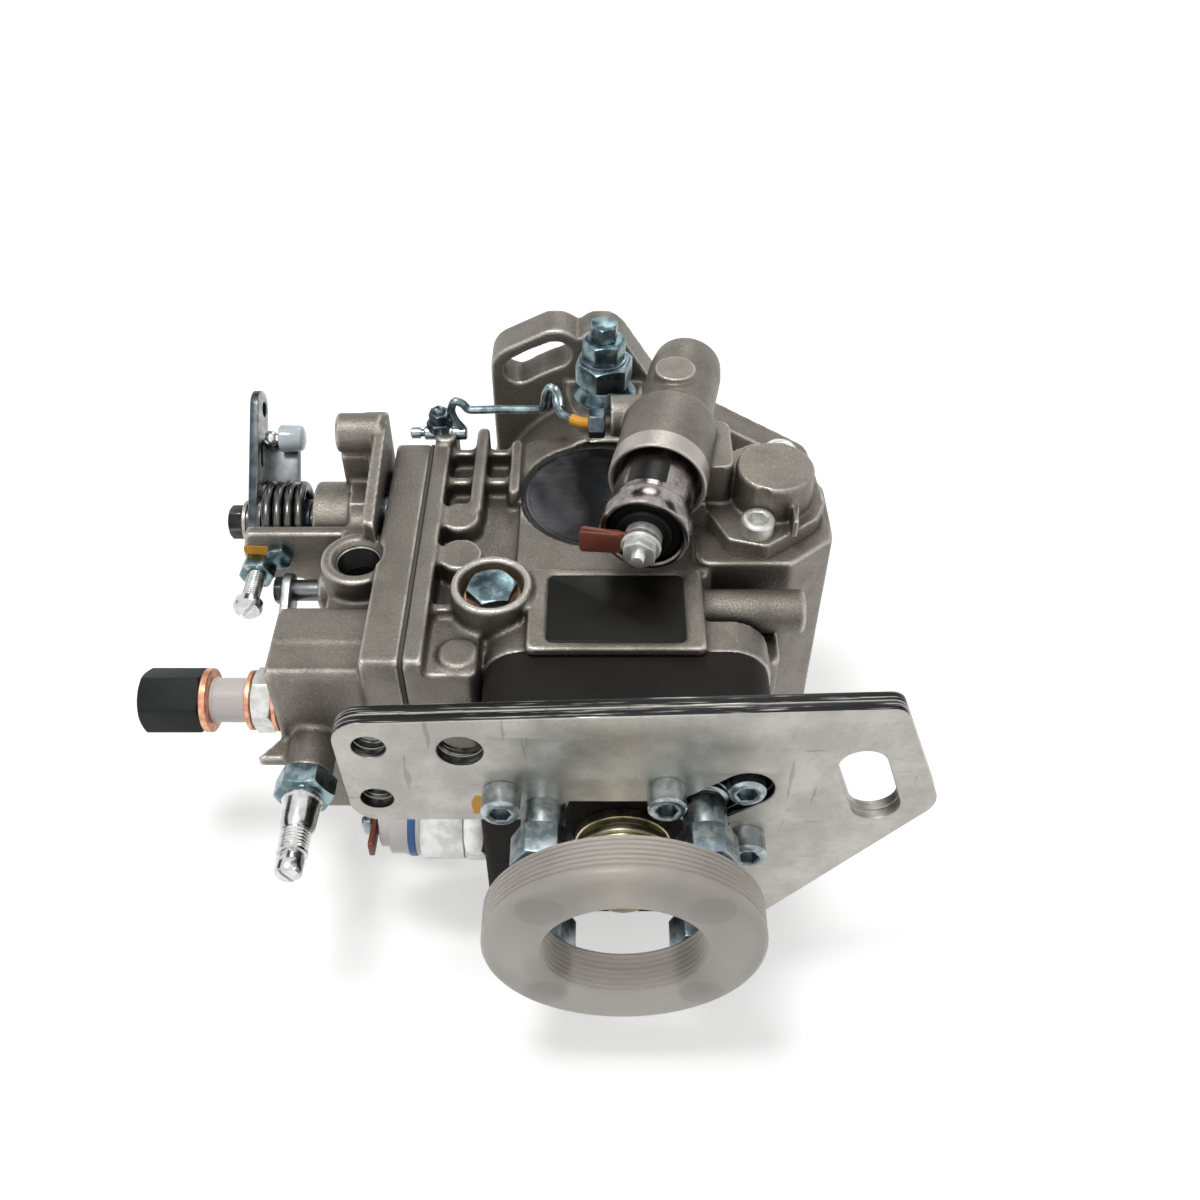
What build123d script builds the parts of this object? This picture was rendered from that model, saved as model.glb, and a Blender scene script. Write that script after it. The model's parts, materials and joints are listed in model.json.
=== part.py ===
from build123d import *
import os
from math import cos, radians, sin

os.makedirs("parts", exist_ok=True)

# Distributor-type injection pump, millimetres. The drive axis is Y: the mounting face is at Y = 0,
# the drive end points to +Y and the outlets to -Y. The governor cover is on -X, the timing device on +X.

# mounting flange and pilot
pilotRadius = 25.0
pilotLength = 8.0
flangeRadius = 45.0
flangeThickness = 13.0
earAngles = (116.5, 236.5, 356.5)
earSlotRadius = 61.0
earSlotWidth = 9.6
earSlotSpan = 13.0
earTipRadius = 9.3

# housing
bodyRadius = 38.0
jointX = -60.0
jointTop = 40.0
jointBottom = -41.0
jointFront = -37.0
jointRear = -133.0
jointCorner = 2.0
rearFaceY = -126.0
pocketFloorZ = 32.0
plateauZ = 37.5
padTopZ = 41.5
padCentre = (-1.8, -113.0)
padSize = (49.5, 32.0)
nameplateSize = (38.6, 26.0)
coverDiscCentre = (-6.7, -59.4)
coverDiscRadius = 24.4
plugCentre = (-37.0, -106.0)
plugBossRadius = 11.7
plugBossTopZ = 44.0

# drive line
shaftRadius = 10.0
bushRadius = 13.0
sealRadius = 17.0
pumpRingRadius = 31.0
gearModule = 1.25
driveTeeth = 50
pinionTeeth = 34
drivePitchRadius = gearModule * driveTeeth / 2
pinionPitchRadius = gearModule * pinionTeeth / 2
governorX = -(drivePitchRadius + pinionPitchRadius)
gearFrontY = -54.0
gearWidth = 7.0
rollerRingRadius = 29.5
plungerRadius = 5.5
pivotX = -27.0
pivotY = -103.0
ballX = -9.3

# timing device
timingX = 46.5
timingY = -71.0
timingBoreRadius = 13.0
timingCoverZ = 40.0
timingPlate = 6.0
timingScrewSpots = ((39.6, -86.2), (49.5, -53.5))

# distributor head, bracket and outlets
headCentre = (1.0, -2.0)
headSize = 80.0
headRearY = -160.7
outletOffset = 21.0
screwX = 31.5
screwZ = 28.5
bracketSheet = 3.0
capRingFrontY = -196.7
capRingRearY = -184.5
capRingRadius = 37.0
capRingHole = 21.5

# governor cover
gasketThickness = 0.8
coverFlangeX = -71.8
coverBodyX = -87.0
coverBlockX = -98.0
leverShaftY = -46.7
leverShaftZ = 14.0
leverShaftRadius = 5.0
fuelPort = (-78.0, -89.0, 38.0)
fuelPortRadius = 6.5
overflowY = -116.4
overflowZ = 5.0
fullLoadX = -89.0
fullLoadZ = 5.0
stopScrewX = -117.0
stopScrewZ = 11.5
ledgeY = -60.6
ledgeThickness = 4.2
stopShaftY = -74.0
stopShaftZ = 9.0
coverScrewSpots = ((-62, 31.6), (-44, -34), (-84, -36), (-124, -34), (-124, 30))

# cold-start column on the upper timing cover
columnStart = (22.9, -17.0, 60.0)
columnEnd = (4.6, -109.5, 60.0)

# shut-off solenoid
shutoffY = -145.0
shutoffZ = -17.0


def rearward(x, y, z):
    """Plane with local axes X and Z whose extrusions run towards the outlets."""
    return Plane(origin=(x, y, z), x_dir=(1, 0, 0), z_dir=(0, -1, 0))


def upward(x, y, z):
    """Plane with local axes X and Y whose extrusions run towards +Z."""
    return Plane(origin=(x, y, z), x_dir=(1, 0, 0), z_dir=(0, 0, 1))


def sideways(x, y, z):
    """Plane with local axes Y and Z whose extrusions run towards +X."""
    return Plane(origin=(x, y, z), x_dir=(0, 1, 0), z_dir=(1, 0, 0))


def disc(plane, radius, length, mode=Mode.ADD):
    with BuildSketch(plane) as profile:
        Circle(radius)
    extrude(profile.sketch, amount=length, mode=mode)


def tube(plane, outer, inner, length, mode=Mode.ADD):
    with BuildSketch(plane) as profile:
        Circle(outer)
        Circle(inner, mode=Mode.SUBTRACT)
    extrude(profile.sketch, amount=length, mode=mode)


def hexagon(plane, acrossFlats, length, mode=Mode.ADD, turn=0):
    with BuildSketch(plane) as profile:
        RegularPolygon(acrossFlats / 2, 6, major_radius=False, rotation=turn)
    extrude(profile.sketch, amount=length, mode=mode)


def block(plane, width, height, length, corner=0.0, mode=Mode.ADD):
    with BuildSketch(plane) as profile:
        if corner:
            RectangleRounded(width, height, corner)
        else:
            Rectangle(width, height)
    extrude(profile.sketch, amount=length, mode=mode)


def box(low, high, corner=0.0, mode=Mode.ADD):
    """Upright block between two opposite corners, its vertical edges rounded."""
    plane = upward((low[0] + high[0]) / 2, (low[1] + high[1]) / 2, low[2])
    block(plane, high[0] - low[0], high[1] - low[1], high[2] - low[2], corner, mode)


def hull(plane, circles, length, mode=Mode.ADD):
    """Plate whose outline is wrapped round circles given as (x, y, radius)."""
    with BuildSketch(plane) as profile:
        for x, y, radius in circles:
            with Locations((x, y)):
                Circle(radius)
        make_hull()
    extrude(profile.sketch, amount=length, mode=mode)


def polygon(plane, points, length, mode=Mode.ADD, rounding=0.0):
    with BuildSketch(plane) as profile:
        with BuildLine():
            Polyline(*points, close=True)
        make_face()
        if rounding:
            fillet(profile.vertices(), rounding)
    extrude(profile.sketch, amount=length, mode=mode)


def turned(plane, stations, mode=Mode.ADD):
    """Turned piece: stations are (distance along the plane's normal, radius)."""
    section = Plane(origin=plane.origin, x_dir=plane.x_dir, z_dir=-plane.y_dir)
    outline = [(0, stations[0][0])]
    outline += [(radius, along) for along, radius in stations]
    outline += [(0, stations[-1][0])]
    with BuildSketch(section) as profile:
        with BuildLine():
            Polyline(*outline, close=True)
        make_face()
    revolve(profile.sketch, axis=Axis(plane.origin, plane.z_dir), mode=mode)


def coil(plane, radius, wire, height, turns):
    """Coil spring standing on the plane."""
    route = plane.location * Helix(height / turns, height, radius, mode=Mode.PRIVATE)
    with BuildSketch(Plane(origin=route @ 0, z_dir=route % 0)) as profile:
        Circle(wire)
    sweep(profile.sketch, path=route, is_frenet=True)


def toothed(plane, teeth, width, phase=0.0):
    """Spur gear rim with straight-flanked teeth, a little thinner than the gaps."""
    pitchRadius = gearModule * teeth / 2
    rootRadius = pitchRadius - 1.3 * gearModule
    toothHeight = 2.2 * gearModule
    with BuildSketch(plane) as profile:
        Circle(rootRadius + 0.1)
        with PolarLocations(rootRadius + toothHeight / 2, teeth, start_angle=phase):
            Trapezoid(1.9 * gearModule, toothHeight, 72, rotation=-90)
    extrude(profile.sketch, amount=width)


def polar(radius, angle):
    return radius * cos(radians(angle)), radius * sin(radians(angle))


def socketScrew(x, y, z, shank, thread=3.0, headRadius=5.0, headHeight=7.0, socket=5.0):
    """Socket-head screw seated at y, its head towards the outlets and its shank towards the drive end."""
    disc(rearward(x, y, z), headRadius, headHeight)
    hexagon(rearward(x, y - headHeight, z), socket, -4.0, Mode.SUBTRACT)
    disc(rearward(x, y, z), thread, -shank)


# ---- housing ----

with BuildPart() as pump_housing:
    disc(rearward(0, 0, 0), flangeRadius, flangeThickness)
    for angle in earAngles:
        tips = [(*polar(earSlotRadius, angle + side), earTipRadius) for side in (-earSlotSpan / 2, earSlotSpan / 2)]
        hull(rearward(0, 0, 0), [(0, 0, 42.5), *tips], flangeThickness)
    hull(rearward(0, 0, 0), [(0, 20, 24), (-6, 57, 9.5)], flangeThickness)
    disc(rearward(0, pilotLength, 0), pilotRadius, pilotLength)
    disc(rearward(0, -flangeThickness, 0), 41.0, 24)
    disc(rearward(0, -30, 0), bodyRadius, -rearFaceY - 30)
    block(rearward(-32, -32, -3), 50, 70, 90, 6)
    block(sideways(jointX, (jointFront + jointRear) / 2, (jointTop + jointBottom) / 2),
          jointFront - jointRear, jointTop - jointBottom, 5.5, jointCorner)
    box((-31, -98, 0), (26, -32, plateauZ), 5)
    box((padCentre[0] - padSize[0] / 2, padCentre[1] - padSize[1] / 2, 38.3),
        (padCentre[0] + padSize[0] / 2, padCentre[1] + padSize[1] / 2, padTopZ), 1.5)
    box((padCentre[0] - padSize[0] / 2, rearFaceY, 0), (padCentre[0] + padSize[0] / 2, -97, padTopZ - 1))
    block(rearward(headCentre[0], -114, headCentre[1]), headSize + 2, headSize - 2, 12, 12)
    box((-56, jointRear, 0), (-40, -112, 35), 3)
    # ribs, bosses and pads of the upper side
    for ribY in (-38.5, -53, -109):
        box((-58, ribY - 1.5, 20), (-24, ribY + 1.5, 37.5))
    box((-46.5, -70, 20), (-42.5, -28, 39.5), 1.9)
    box((-35, -61, 20), (-31.5, -34, 39.0), 1.7)
    for bossX, bossY, bossRadius, bossTop in ((-49, -71.7, 6.2, 39), (-47.6, -88.6, 6.6, 39),
                                              (-45.5, -125.5, 5.5, 36.5)):
        disc(upward(bossX, bossY, 15), bossRadius, bossTop - 15)
    disc(upward(*plugCentre, 10), plugBossRadius, plugBossTopZ - 10)
    # lock-bolt boss and lug of the link fitting
    hull(upward(-5, -24, 20), [(0, 0, 11), (0, 8, 13)], 27)
    disc(upward(-5, -24, 45), 9.5, 5.5)
    box((-60, -38, 20), (-53, -25, 47), 3)
    # timing barrel with its flat rear wall
    polygon(upward(0, 0, -timingCoverZ), [(22, -52), (22, -94), (50, -94), (63.5, -83), (63.5, -59), (55, -50)],
            2 * timingCoverZ, rounding=4)
    # cross boss and step on the timing side
    disc(sideways(22, -104.5, 31), 6.4, 31)
    box((22, -118, -14), (46, -98, 23), 4)
    # bores
    disc(rearward(0, pilotLength, 0), sealRadius, 7, Mode.SUBTRACT)
    disc(rearward(0, 2, 0), bushRadius, 36, Mode.SUBTRACT)
    disc(rearward(0, -34, 0), pumpRingRadius, 19, Mode.SUBTRACT)
    disc(rearward(0, -53, 0), 33.5, 9.5, Mode.SUBTRACT)
    disc(rearward(0, -62.5, 0), rollerRingRadius + 0.1, 16, Mode.SUBTRACT)
    disc(rearward(0, -78.5, 0), 31, 48, Mode.SUBTRACT)
    disc(rearward(governorX, -50, 0), 23.3, 40, Mode.SUBTRACT)
    disc(rearward(governorX, -38, 0), 4, 14, Mode.SUBTRACT)
    block(rearward(-40, -88, 0), 60, 28, 32, mode=Mode.SUBTRACT)
    disc(upward(pivotX, pivotY, -18), 2, 36, Mode.SUBTRACT)
    disc(upward(timingX, timingY, -timingCoverZ), timingBoreRadius, 2 * timingCoverZ, Mode.SUBTRACT)
    block(sideways(20, timingY, 2.5), 10, 17, 20, mode=Mode.SUBTRACT)
    disc(upward(-5, -24, 8), 4, 45, Mode.SUBTRACT)
    disc(upward(*plugCentre, 37.2), 9.2, 9, Mode.SUBTRACT)
    disc(upward(*plugCentre, 26), 6, 14, Mode.SUBTRACT)
    disc(upward(*coverDiscCentre, 35.2), coverDiscRadius + 0.2, 4, Mode.SUBTRACT)
    disc(sideways(-61, -31.5, 41.5), 2.5, 12, Mode.SUBTRACT)
    block(upward(*padCentre, 40.3), nameplateSize[0] + 0.6, nameplateSize[1] + 0.6, 3, 2.2, Mode.SUBTRACT)
    for sx in (-1, 1):
        for sz in (-1, 1):
            disc(rearward(sx * screwX, rearFaceY, sz * screwZ), 3, -11, Mode.SUBTRACT)
    for y, z in coverScrewSpots:
        disc(sideways(jointX, y, z), 3, 9, Mode.SUBTRACT)
    for x, y in timingScrewSpots:
        disc(upward(x, y, timingCoverZ), 3, -12, Mode.SUBTRACT)
        disc(upward(x, y, -timingCoverZ), 3, 12, Mode.SUBTRACT)
    for angle in earAngles:
        arc = CenterArc((0, 0), earSlotRadius, angle - earSlotSpan / 2, earSlotSpan, mode=Mode.PRIVATE)
        with BuildSketch(rearward(0, 1, 0)) as slot:
            SlotArc(arc, earSlotWidth)
        extrude(slot.sketch, amount=flangeThickness + 2, mode=Mode.SUBTRACT)

with BuildPart() as nameplate:
    block(upward(*padCentre, 40.3), *nameplateSize, 1.0, 2)

with BuildPart() as side_cover_disc:
    turned(upward(*coverDiscCentre, 35.2), [(0, coverDiscRadius), (0.9, coverDiscRadius), (1.7, coverDiscRadius - 3)])

with BuildPart() as side_plug:
    hexagon(upward(*plugCentre, 38.6), 13, 4.6)
    disc(upward(*plugCentre, 27), 6, 11.6)

with BuildPart() as shaft_lock_bolt:
    hexagon(upward(-5, -24, 64.0), 12, 7.0)
    hexagon(upward(-5, -24, 71.0), 8, 5.5, turn=20)
    disc(upward(-5, -24, 10.8), 4, 53.2)
    with BuildSketch(upward(-5, -24, 50.5)) as sleeve:
        RegularPolygon(8.2, 6, major_radius=False, rotation=15)
        Circle(4, mode=Mode.SUBTRACT)
    extrude(sleeve.sketch, amount=12.9)

with BuildPart() as link_wire:
    with BuildLine() as run:
        FilletPolyline((-50.5, -31.5, 45.5), (-50.8, -31.3, 53), (-26, -36, 56), (-23, -35, 62.5),
                       (-19, -44, 61), (-13.0, -49.5, 60), (-8.2, -49.5, 60), radius=[2.4, 2.4, 2.2, 2.6, 2.6])
    with BuildSketch(Plane(origin=run.line @ 0, z_dir=run.line % 0)) as wire:
        Circle(1.1)
    sweep(wire.sketch, path=run.line)
    disc(sideways(-69, -31.5, 41.5), 2.5, 19.5)
    hexagon(sideways(-66.5, -31.5, 41.5), 9, 6.3)
    disc(sideways(-53, -31.5, 41.5), 3.2, 5)
    hexagon(sideways(-7.6, -49.5, 60), 8, 4.6)

# ---- governor cover ----

with BuildPart() as cover_gasket:
    flangeMid = ((jointFront + jointRear) / 2, (jointTop + jointBottom) / 2)
    with BuildSketch(sideways(jointX, *flangeMid)) as profile:
        RectangleRounded(jointFront - jointRear, jointTop - jointBottom, jointCorner)
        with Locations((4, 1)):
            RectangleRounded(80, 50, 3, mode=Mode.SUBTRACT)
        with Locations([(y - flangeMid[0], z - flangeMid[1]) for y, z in coverScrewSpots]):
            Circle(3.2, mode=Mode.SUBTRACT)
    extrude(profile.sketch, amount=-gasketThickness)

with BuildPart() as governor_cover:
    block(sideways(jointX - gasketThickness, *flangeMid), jointFront - jointRear, jointTop - jointBottom,
          coverFlangeX - jointX + gasketThickness, jointCorner)
    block(sideways(coverFlangeX + 1, -80.5, -3), 91, 66, coverBodyX - coverFlangeX - 1, 8)
    block(sideways(coverFlangeX + 1, -118, 2), 27, 64, coverBlockX - coverFlangeX - 1, 3)
    # raised rim, side boss and shaft boss
    polygon(sideways(-77.2, 0, 0), [(-37, 20), (-37, 53), (-43, 52), (-83.5, 44.5), (-83.5, 20)], 3.8, rounding=1)
    polygon(sideways(-80.5, 0, 0), [(-37, 34), (-37, 53), (-47, 51), (-47, 34)], 7, rounding=1)
    disc(sideways(-75, -41.5, 47.3), 6.3, -14.5)
    box((-89.5, -44.5, 20), (-76, -37, 40), 1)
    box((-87.5, -50, 20), (-76, -37, 30), 1)
    disc(sideways(-80, leverShaftY, leverShaftZ), 13.5, -19.6)
    # fuel port
    disc(upward(fuelPort[0], fuelPort[1], -30), 11, fuelPort[2] + 30)
    # ledge wall carrying the idle screw
    polygon(rearward(0, ledgeY, 0), [(-119.3, 25), (-84, 25), (-84, -16), (-96, -12), (-104, 5), (-121.3, 5),
                                     (-121.3, 16)], ledgeThickness, rounding=1.5)
    # full-load boss, side fin and overflow boss
    disc(rearward(fullLoadX, -120, fullLoadZ), 6.8, 25)
    polygon(upward(0, 0, 2), [(-94, -125), (-104.5, -139), (-92, -139)], 4)
    turned(sideways(coverBlockX, overflowY, overflowZ), [(0, 10.5), (-3.2, 9.4)])
    # stop-lever boss
    disc(sideways(-80, stopShaftY, stopShaftZ), 6.5, -16)
    # inside
    disc(rearward(governorX, -46, 0), 24.2, 46, Mode.SUBTRACT)
    box((-83, -120, -14), (-60, -44, 14), mode=Mode.SUBTRACT)
    box((-83, -58, 0), (-60, -40.4, 24), mode=Mode.SUBTRACT)
    disc(sideways(-60, leverShaftY, leverShaftZ), leverShaftRadius + 0.03, -45, Mode.SUBTRACT)
    disc(sideways(-60, stopShaftY, stopShaftZ), 3.53, -45, Mode.SUBTRACT)
    disc(upward(fuelPort[0], fuelPort[1], fuelPort[2]), fuelPortRadius, -15, Mode.SUBTRACT)
    disc(upward(fuelPort[0], fuelPort[1], fuelPort[2] - 1.2), fuelPortRadius + 1.2, 20, Mode.SUBTRACT)
    disc(upward(fuelPort[0], fuelPort[1], 0), 3, 30, Mode.SUBTRACT)
    disc(rearward(fullLoadX, -110, fullLoadZ), 4, 40, Mode.SUBTRACT)
    disc(sideways(-82, overflowY, overflowZ), 4, -25, Mode.SUBTRACT)
    disc(rearward(stopScrewX, ledgeY + 2, stopScrewZ), 3, 10, Mode.SUBTRACT)
    for y, z in coverScrewSpots:
        disc(sideways(-60, y, z), 3.2, -20, Mode.SUBTRACT)
        disc(sideways(coverFlangeX, y, z), 6.3, -40, Mode.SUBTRACT)

with BuildPart() as casting_screws:
    for y, z in coverScrewSpots:
        disc(sideways(coverFlangeX, y, z), 5, -6)
        hexagon(sideways(coverFlangeX - 6, y, z), 5, 3.5, Mode.SUBTRACT)
        disc(sideways(coverFlangeX, y, z), 3, 18)
    for side in (-1, 1):
        for x, y in timingScrewSpots:
            seat = upward(x, y, side * (timingCoverZ + timingPlate))
            disc(seat, 5, side * 5)
            hexagon(seat.offset(side * 5), 5, -side * 3, Mode.SUBTRACT)
            disc(seat, 3, -side * 16)

with BuildPart() as overflow_hex:
    hexagon(sideways(-102.7, overflowY, overflowZ), 17, -6.2)
    disc(sideways(-102.7, overflowY, overflowZ), 4, 8)

with BuildPart() as copper_washers:
    tube(sideways(-101.2, overflowY, overflowZ), 9.4, 4, -1.5)
    tube(sideways(-108.9, overflowY, overflowZ), 9.0, 4, -1.6)
    tube(sideways(-121.5, overflowY, overflowZ), 9.6, 4, -2.2)
    tube(upward(*plugCentre, 37.2), 8.2, 6, 1.4)

with BuildPart() as overflow_sleeve:
    tube(sideways(-110.5, overflowY, overflowZ), 6.8, 4, -11)

with BuildPart() as overflow_cap:
    hexagon(sideways(-123.7, overflowY, overflowZ), 17.2, -18.2)
    disc(sideways(-108.9, overflowY, overflowZ), 4, -15)

with BuildPart() as adjusting_screws:
    turned(rearward(fullLoadX, -114, fullLoadZ),
           [(0, 4), (38, 4), (38, 5.4), (48, 5.0), (49, 4.3), (56.5, 4.3), (57, 3.7), (62.5, 3.6), (63.4, 2.4)])
    turned(rearward(stopScrewX, ledgeY, stopScrewZ), [(0, 3), (21.4, 3), (21.4, 4.6), (24.9, 4.6)])
    box((stopScrewX - 0.6, -86, stopScrewZ - 5), (stopScrewX + 0.6, -83.6, stopScrewZ + 5), mode=Mode.SUBTRACT)

with BuildPart() as lock_nuts:
    for plane, acrossFlats, bore, height in ((rearward(fullLoadX, -145, fullLoadZ), 15, 4, 6.8),
                                             (rearward(stopScrewX, ledgeY - ledgeThickness, stopScrewZ), 10, 3, 5.5)):
        hexagon(plane, acrossFlats, height)
        disc(plane, bore, height, Mode.SUBTRACT)

# ---- control and stop levers ----

with BuildPart() as control_shaft:
    turned(sideways(0, leverShaftY, leverShaftZ),
           [(-78, 6), (-82, 6), (-82, leverShaftRadius), (-119, leverShaftRadius), (-119, 3), (-130, 3)])
    disc(sideways(-78, leverShaftY - 4, leverShaftZ), 1.5, 4)
    with BuildSketch(sideways(-124.3, leverShaftY, leverShaftZ)) as nut:
        RegularPolygon(5, 6, major_radius=False)
        Circle(3, mode=Mode.SUBTRACT)
    extrude(nut.sketch, amount=-5)

leverTip = (-19.0, 40.0)
with BuildPart() as control_lever:
    hull(sideways(-119, 0, 0), [(leverShaftY, leverShaftZ, 9), (*leverTip, 6)], -3)
    disc(sideways(-122, leverShaftY, leverShaftZ), 6.5, -2.3)
    disc(sideways(-101.5, leverShaftY, leverShaftZ), 8, -18)
    polygon(sideways(-119, 0, 0), [(-34, 20.8), (-32, 18.8), (-21, 28.8), (-23, 30.8)], 11)
    disc(sideways(-119, leverShaftY, leverShaftZ), leverShaftRadius, 18, Mode.SUBTRACT)
    disc(sideways(-119, leverShaftY, leverShaftZ), 3, -6, Mode.SUBTRACT)
    disc(sideways(-123, leverTip[0] + 1, leverTip[1] - 1), 2.5, 5, Mode.SUBTRACT)

with BuildPart() as lever_end_cap:
    turned(sideways(-119, -26, 34.4), [(0, 2.6), (6, 2.6), (6, 4.3), (12.6, 4), (13.8, 2.6)])

with BuildPart() as lever_return_spring:
    coil(sideways(-117.4, leverShaftY, leverShaftZ), 12.2, 1.2, 16, 4)

with BuildPart() as stop_lever:
    disc(sideways(-84, stopShaftY, stopShaftZ), 3.5, -24.5)
    hull(sideways(-104.5, 0, 0), [(stopShaftY, stopShaftZ, 5.5), (-101, -2, 3.6)], -3)
    hexagon(sideways(-107.5, stopShaftY, stopShaftZ), 8, -3)

# ---- distributor head, bracket and outlets ----

with BuildPart() as distributor_head:
    block(rearward(headCentre[0], rearFaceY, headCentre[1]), headSize, headSize, rearFaceY - headRearY, 12)
    disc(rearward(0, -112, 0), 14, 14)
    disc(rearward(0, -111, 0), plungerRadius + 0.02, 40, Mode.SUBTRACT)
    disc(rearward(0, -149, 0), 10.5, 12, Mode.SUBTRACT)
    for x in (-outletOffset, outletOffset):
        for z in (-outletOffset, outletOffset):
            disc(rearward(x, -148, z), 5.5, 13, Mode.SUBTRACT)
    for x in (-screwX, screwX):
        for z in (-screwZ, screwZ):
            disc(rearward(x, -125, z), 3, 37, Mode.SUBTRACT)
    for x, z in ((10.7, 30), (32.8, 8.8)):
        disc(rearward(x, -146, z), 3, 16, Mode.SUBTRACT)
    disc(sideways(-40, shutoffY, shutoffZ), 7, 9, Mode.SUBTRACT)
    disc(sideways(-40, shutoffY, shutoffZ), 4.4, 16, Mode.SUBTRACT)

# corners of the bracket as (x, z, corner radius)
bracketCorners = [(-72.3, 56.0, 7.5), (66.6, 61.9, 4), (81.9, 23.4, 8), (37.5, -36, 4), (25, -36, 3), (25, -12, 3),
                  (28, 14.3, 1), (12, 24.3, 1), (-14, 24.3, 1), (-26, 16.1, 3), (-71.0, 16.1, 7.5)]


def bracketSheetAt(y):
    with BuildSketch(rearward(0, y, 0)) as profile:
        with BuildLine():
            FilletPolyline(*[(x, z) for x, z, _ in bracketCorners], radius=[r for _, _, r in bracketCorners],
                           close=True)
        make_face()
        with Locations((-outletOffset, outletOffset), (outletOffset, outletOffset), (outletOffset, -outletOffset)):
            Circle(7.3, mode=Mode.SUBTRACT)
        with Locations(((screwX + outletOffset) / 2, (screwZ + 1 + outletOffset) / 2)):
            SlotCenterToCenter(13.5, 14, rotation=39, mode=Mode.SUBTRACT)
        with Locations((-63.2, 47.0), (-63.8, 25.6)):
            Circle(4.25, mode=Mode.SUBTRACT)
        with Locations((-40.8, 45.4)):
            Circle(5.75, mode=Mode.SUBTRACT)
        with Locations((62.5, 31.0)):
            SlotOverall(30, 12.6, rotation=109, mode=Mode.SUBTRACT)
        with Locations((-screwX, screwZ), (screwX, -screwZ), (10.7, 30), (32.8, 8.8)):
            Circle(3, mode=Mode.SUBTRACT)
    extrude(profile.sketch, amount=bracketSheet)


with BuildPart() as bracket_rear_plate:
    bracketSheetAt(headRearY)

with BuildPart() as bracket_front_plate:
    bracketSheetAt(headRearY - bracketSheet)

bracketFaceY = headRearY - 2 * bracketSheet
with BuildPart() as socket_screws:
    socketScrew(-screwX, bracketFaceY, screwZ, 50)
    socketScrew(screwX, bracketFaceY, -screwZ, 50)
    socketScrew(screwX, headRearY, screwZ, 44)
    socketScrew(-screwX, headRearY, -screwZ, 44)
    socketScrew(10.7, bracketFaceY, 30, 18)
    socketScrew(32.8, bracketFaceY, 8.8, 18)

with BuildPart() as delivery_valve_holders:
    for x in (-outletOffset, outletOffset):
        for z in (-outletOffset, outletOffset):
            turned(rearward(x, 0, z), [(148, 5.5), (161.2, 5.5), (161.2, 5.9), (162.4, 5.9), (163, 5.2), (164.2, 5.2),
                                       (164.8, 5.7), (175, 5.7)])
            hexagon(rearward(x, -174.8, z), 14, 9.4)
            turned(rearward(x, 0, z), [(184, 6), (193, 6), (194, 5)])
            turned(rearward(x, 0, z), [(186, 0.8), (194.5, 3.4)], Mode.SUBTRACT)

with BuildPart() as head_plug:
    turned(rearward(0, 0, 0), [(149.5, 10.5), (161.2, 10.5), (161.2, 13.2), (164, 13.2), (164, 11), (166, 11),
                               (166, 14), (168.5, 14), (168.5, 12.6), (170.5, 12.6), (170.5, 13.6), (175, 13.6),
                               (176.2, 12.4)])
    hexagon(rearward(0, -176, 0), 12, 5.5)

with BuildPart() as delivery_cap_ring:
    tube(rearward(0, capRingRearY, 0), capRingRadius, capRingHole, capRingRearY - capRingFrontY)
    for x in (-outletOffset, outletOffset):
        for z in (-outletOffset, outletOffset):
            disc(rearward(x, capRingRearY, z), 6.1, 10, Mode.SUBTRACT)

# ---- timing covers and cold-start device ----

timingCoverOutline = [(25, -76), (31, -90), (42, -93), (58, -81), (61.5, -73), (59.5, -57), (53, -47), (42, -45),
                      (27, -54)]
columnVector = Vector(*columnEnd) - Vector(*columnStart)
columnPlane = Plane(origin=columnStart, x_dir=(0, 0, 1), z_dir=tuple(columnVector.normalized()))

with BuildPart() as timing_cover_upper:
    polygon(upward(0, 0, timingCoverZ), timingCoverOutline, timingPlate, rounding=3)
    turned(upward(45.5, timingY, timingCoverZ), [(0, 12.2), (17, 11.6), (18, 11)])
    polygon(upward(0, 0, timingCoverZ + timingPlate), [(50, -80), (52.5, -78), (51, -89), (49.5, -89)], 6)
    # column and its foot
    turned(columnPlane, [(3, 7.5), (6.5, 10.8), (12, 11.5), (36, 11.5), (40, 14.2), (60, 14.2)])
    box((9, -74, timingCoverZ + 6), (33, -52, columnStart[2]), 3)
    polygon(upward(0, 0, timingCoverZ), [(27, -54), (25, -78), (12, -76), (12, -56)], timingPlate + 3)
    disc(sideways(10, -49.5, 60), 6.4, -13)
    disc(upward(16.5, -43, 60), 6.2, 13)
    turned(columnPlane, [(46, 9), (60.5, 9)], Mode.SUBTRACT)
    disc(upward(timingX - 1, timingY, timingCoverZ), 9, 14, Mode.SUBTRACT)
    for x, y in timingScrewSpots:
        disc(upward(x, y, timingCoverZ), 3, 8, Mode.SUBTRACT)
        disc(upward(x, y, timingCoverZ + timingPlate), 5.4, 20, Mode.SUBTRACT)

with BuildPart() as timing_cover_lower:
    polygon(upward(0, 0, -timingCoverZ - timingPlate), timingCoverOutline, timingPlate, rounding=3)
    disc(upward(timingX, timingY, -timingCoverZ - timingPlate - 4), 11, 5)
    disc(upward(timingX, timingY, -timingCoverZ - timingPlate), 8, 7, Mode.SUBTRACT)
    for x, y in timingScrewSpots:
        disc(upward(x, y, -timingCoverZ), 3, -8, Mode.SUBTRACT)

with BuildPart() as cold_start_solenoid:
    turned(columnPlane, [(46.5, 8.9), (60, 8.9), (60, 12.8), (82, 12.8), (83.8, 12.2)])
    turned(columnPlane, [(80, 10.4), (84, 10.4)], Mode.SUBTRACT)

with BuildPart() as cold_start_cap:
    turned(columnPlane, [(80, 10.3), (85.5, 10.3), (87, 9.2), (87, 5.5), (88.5, 5.0)])

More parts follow.
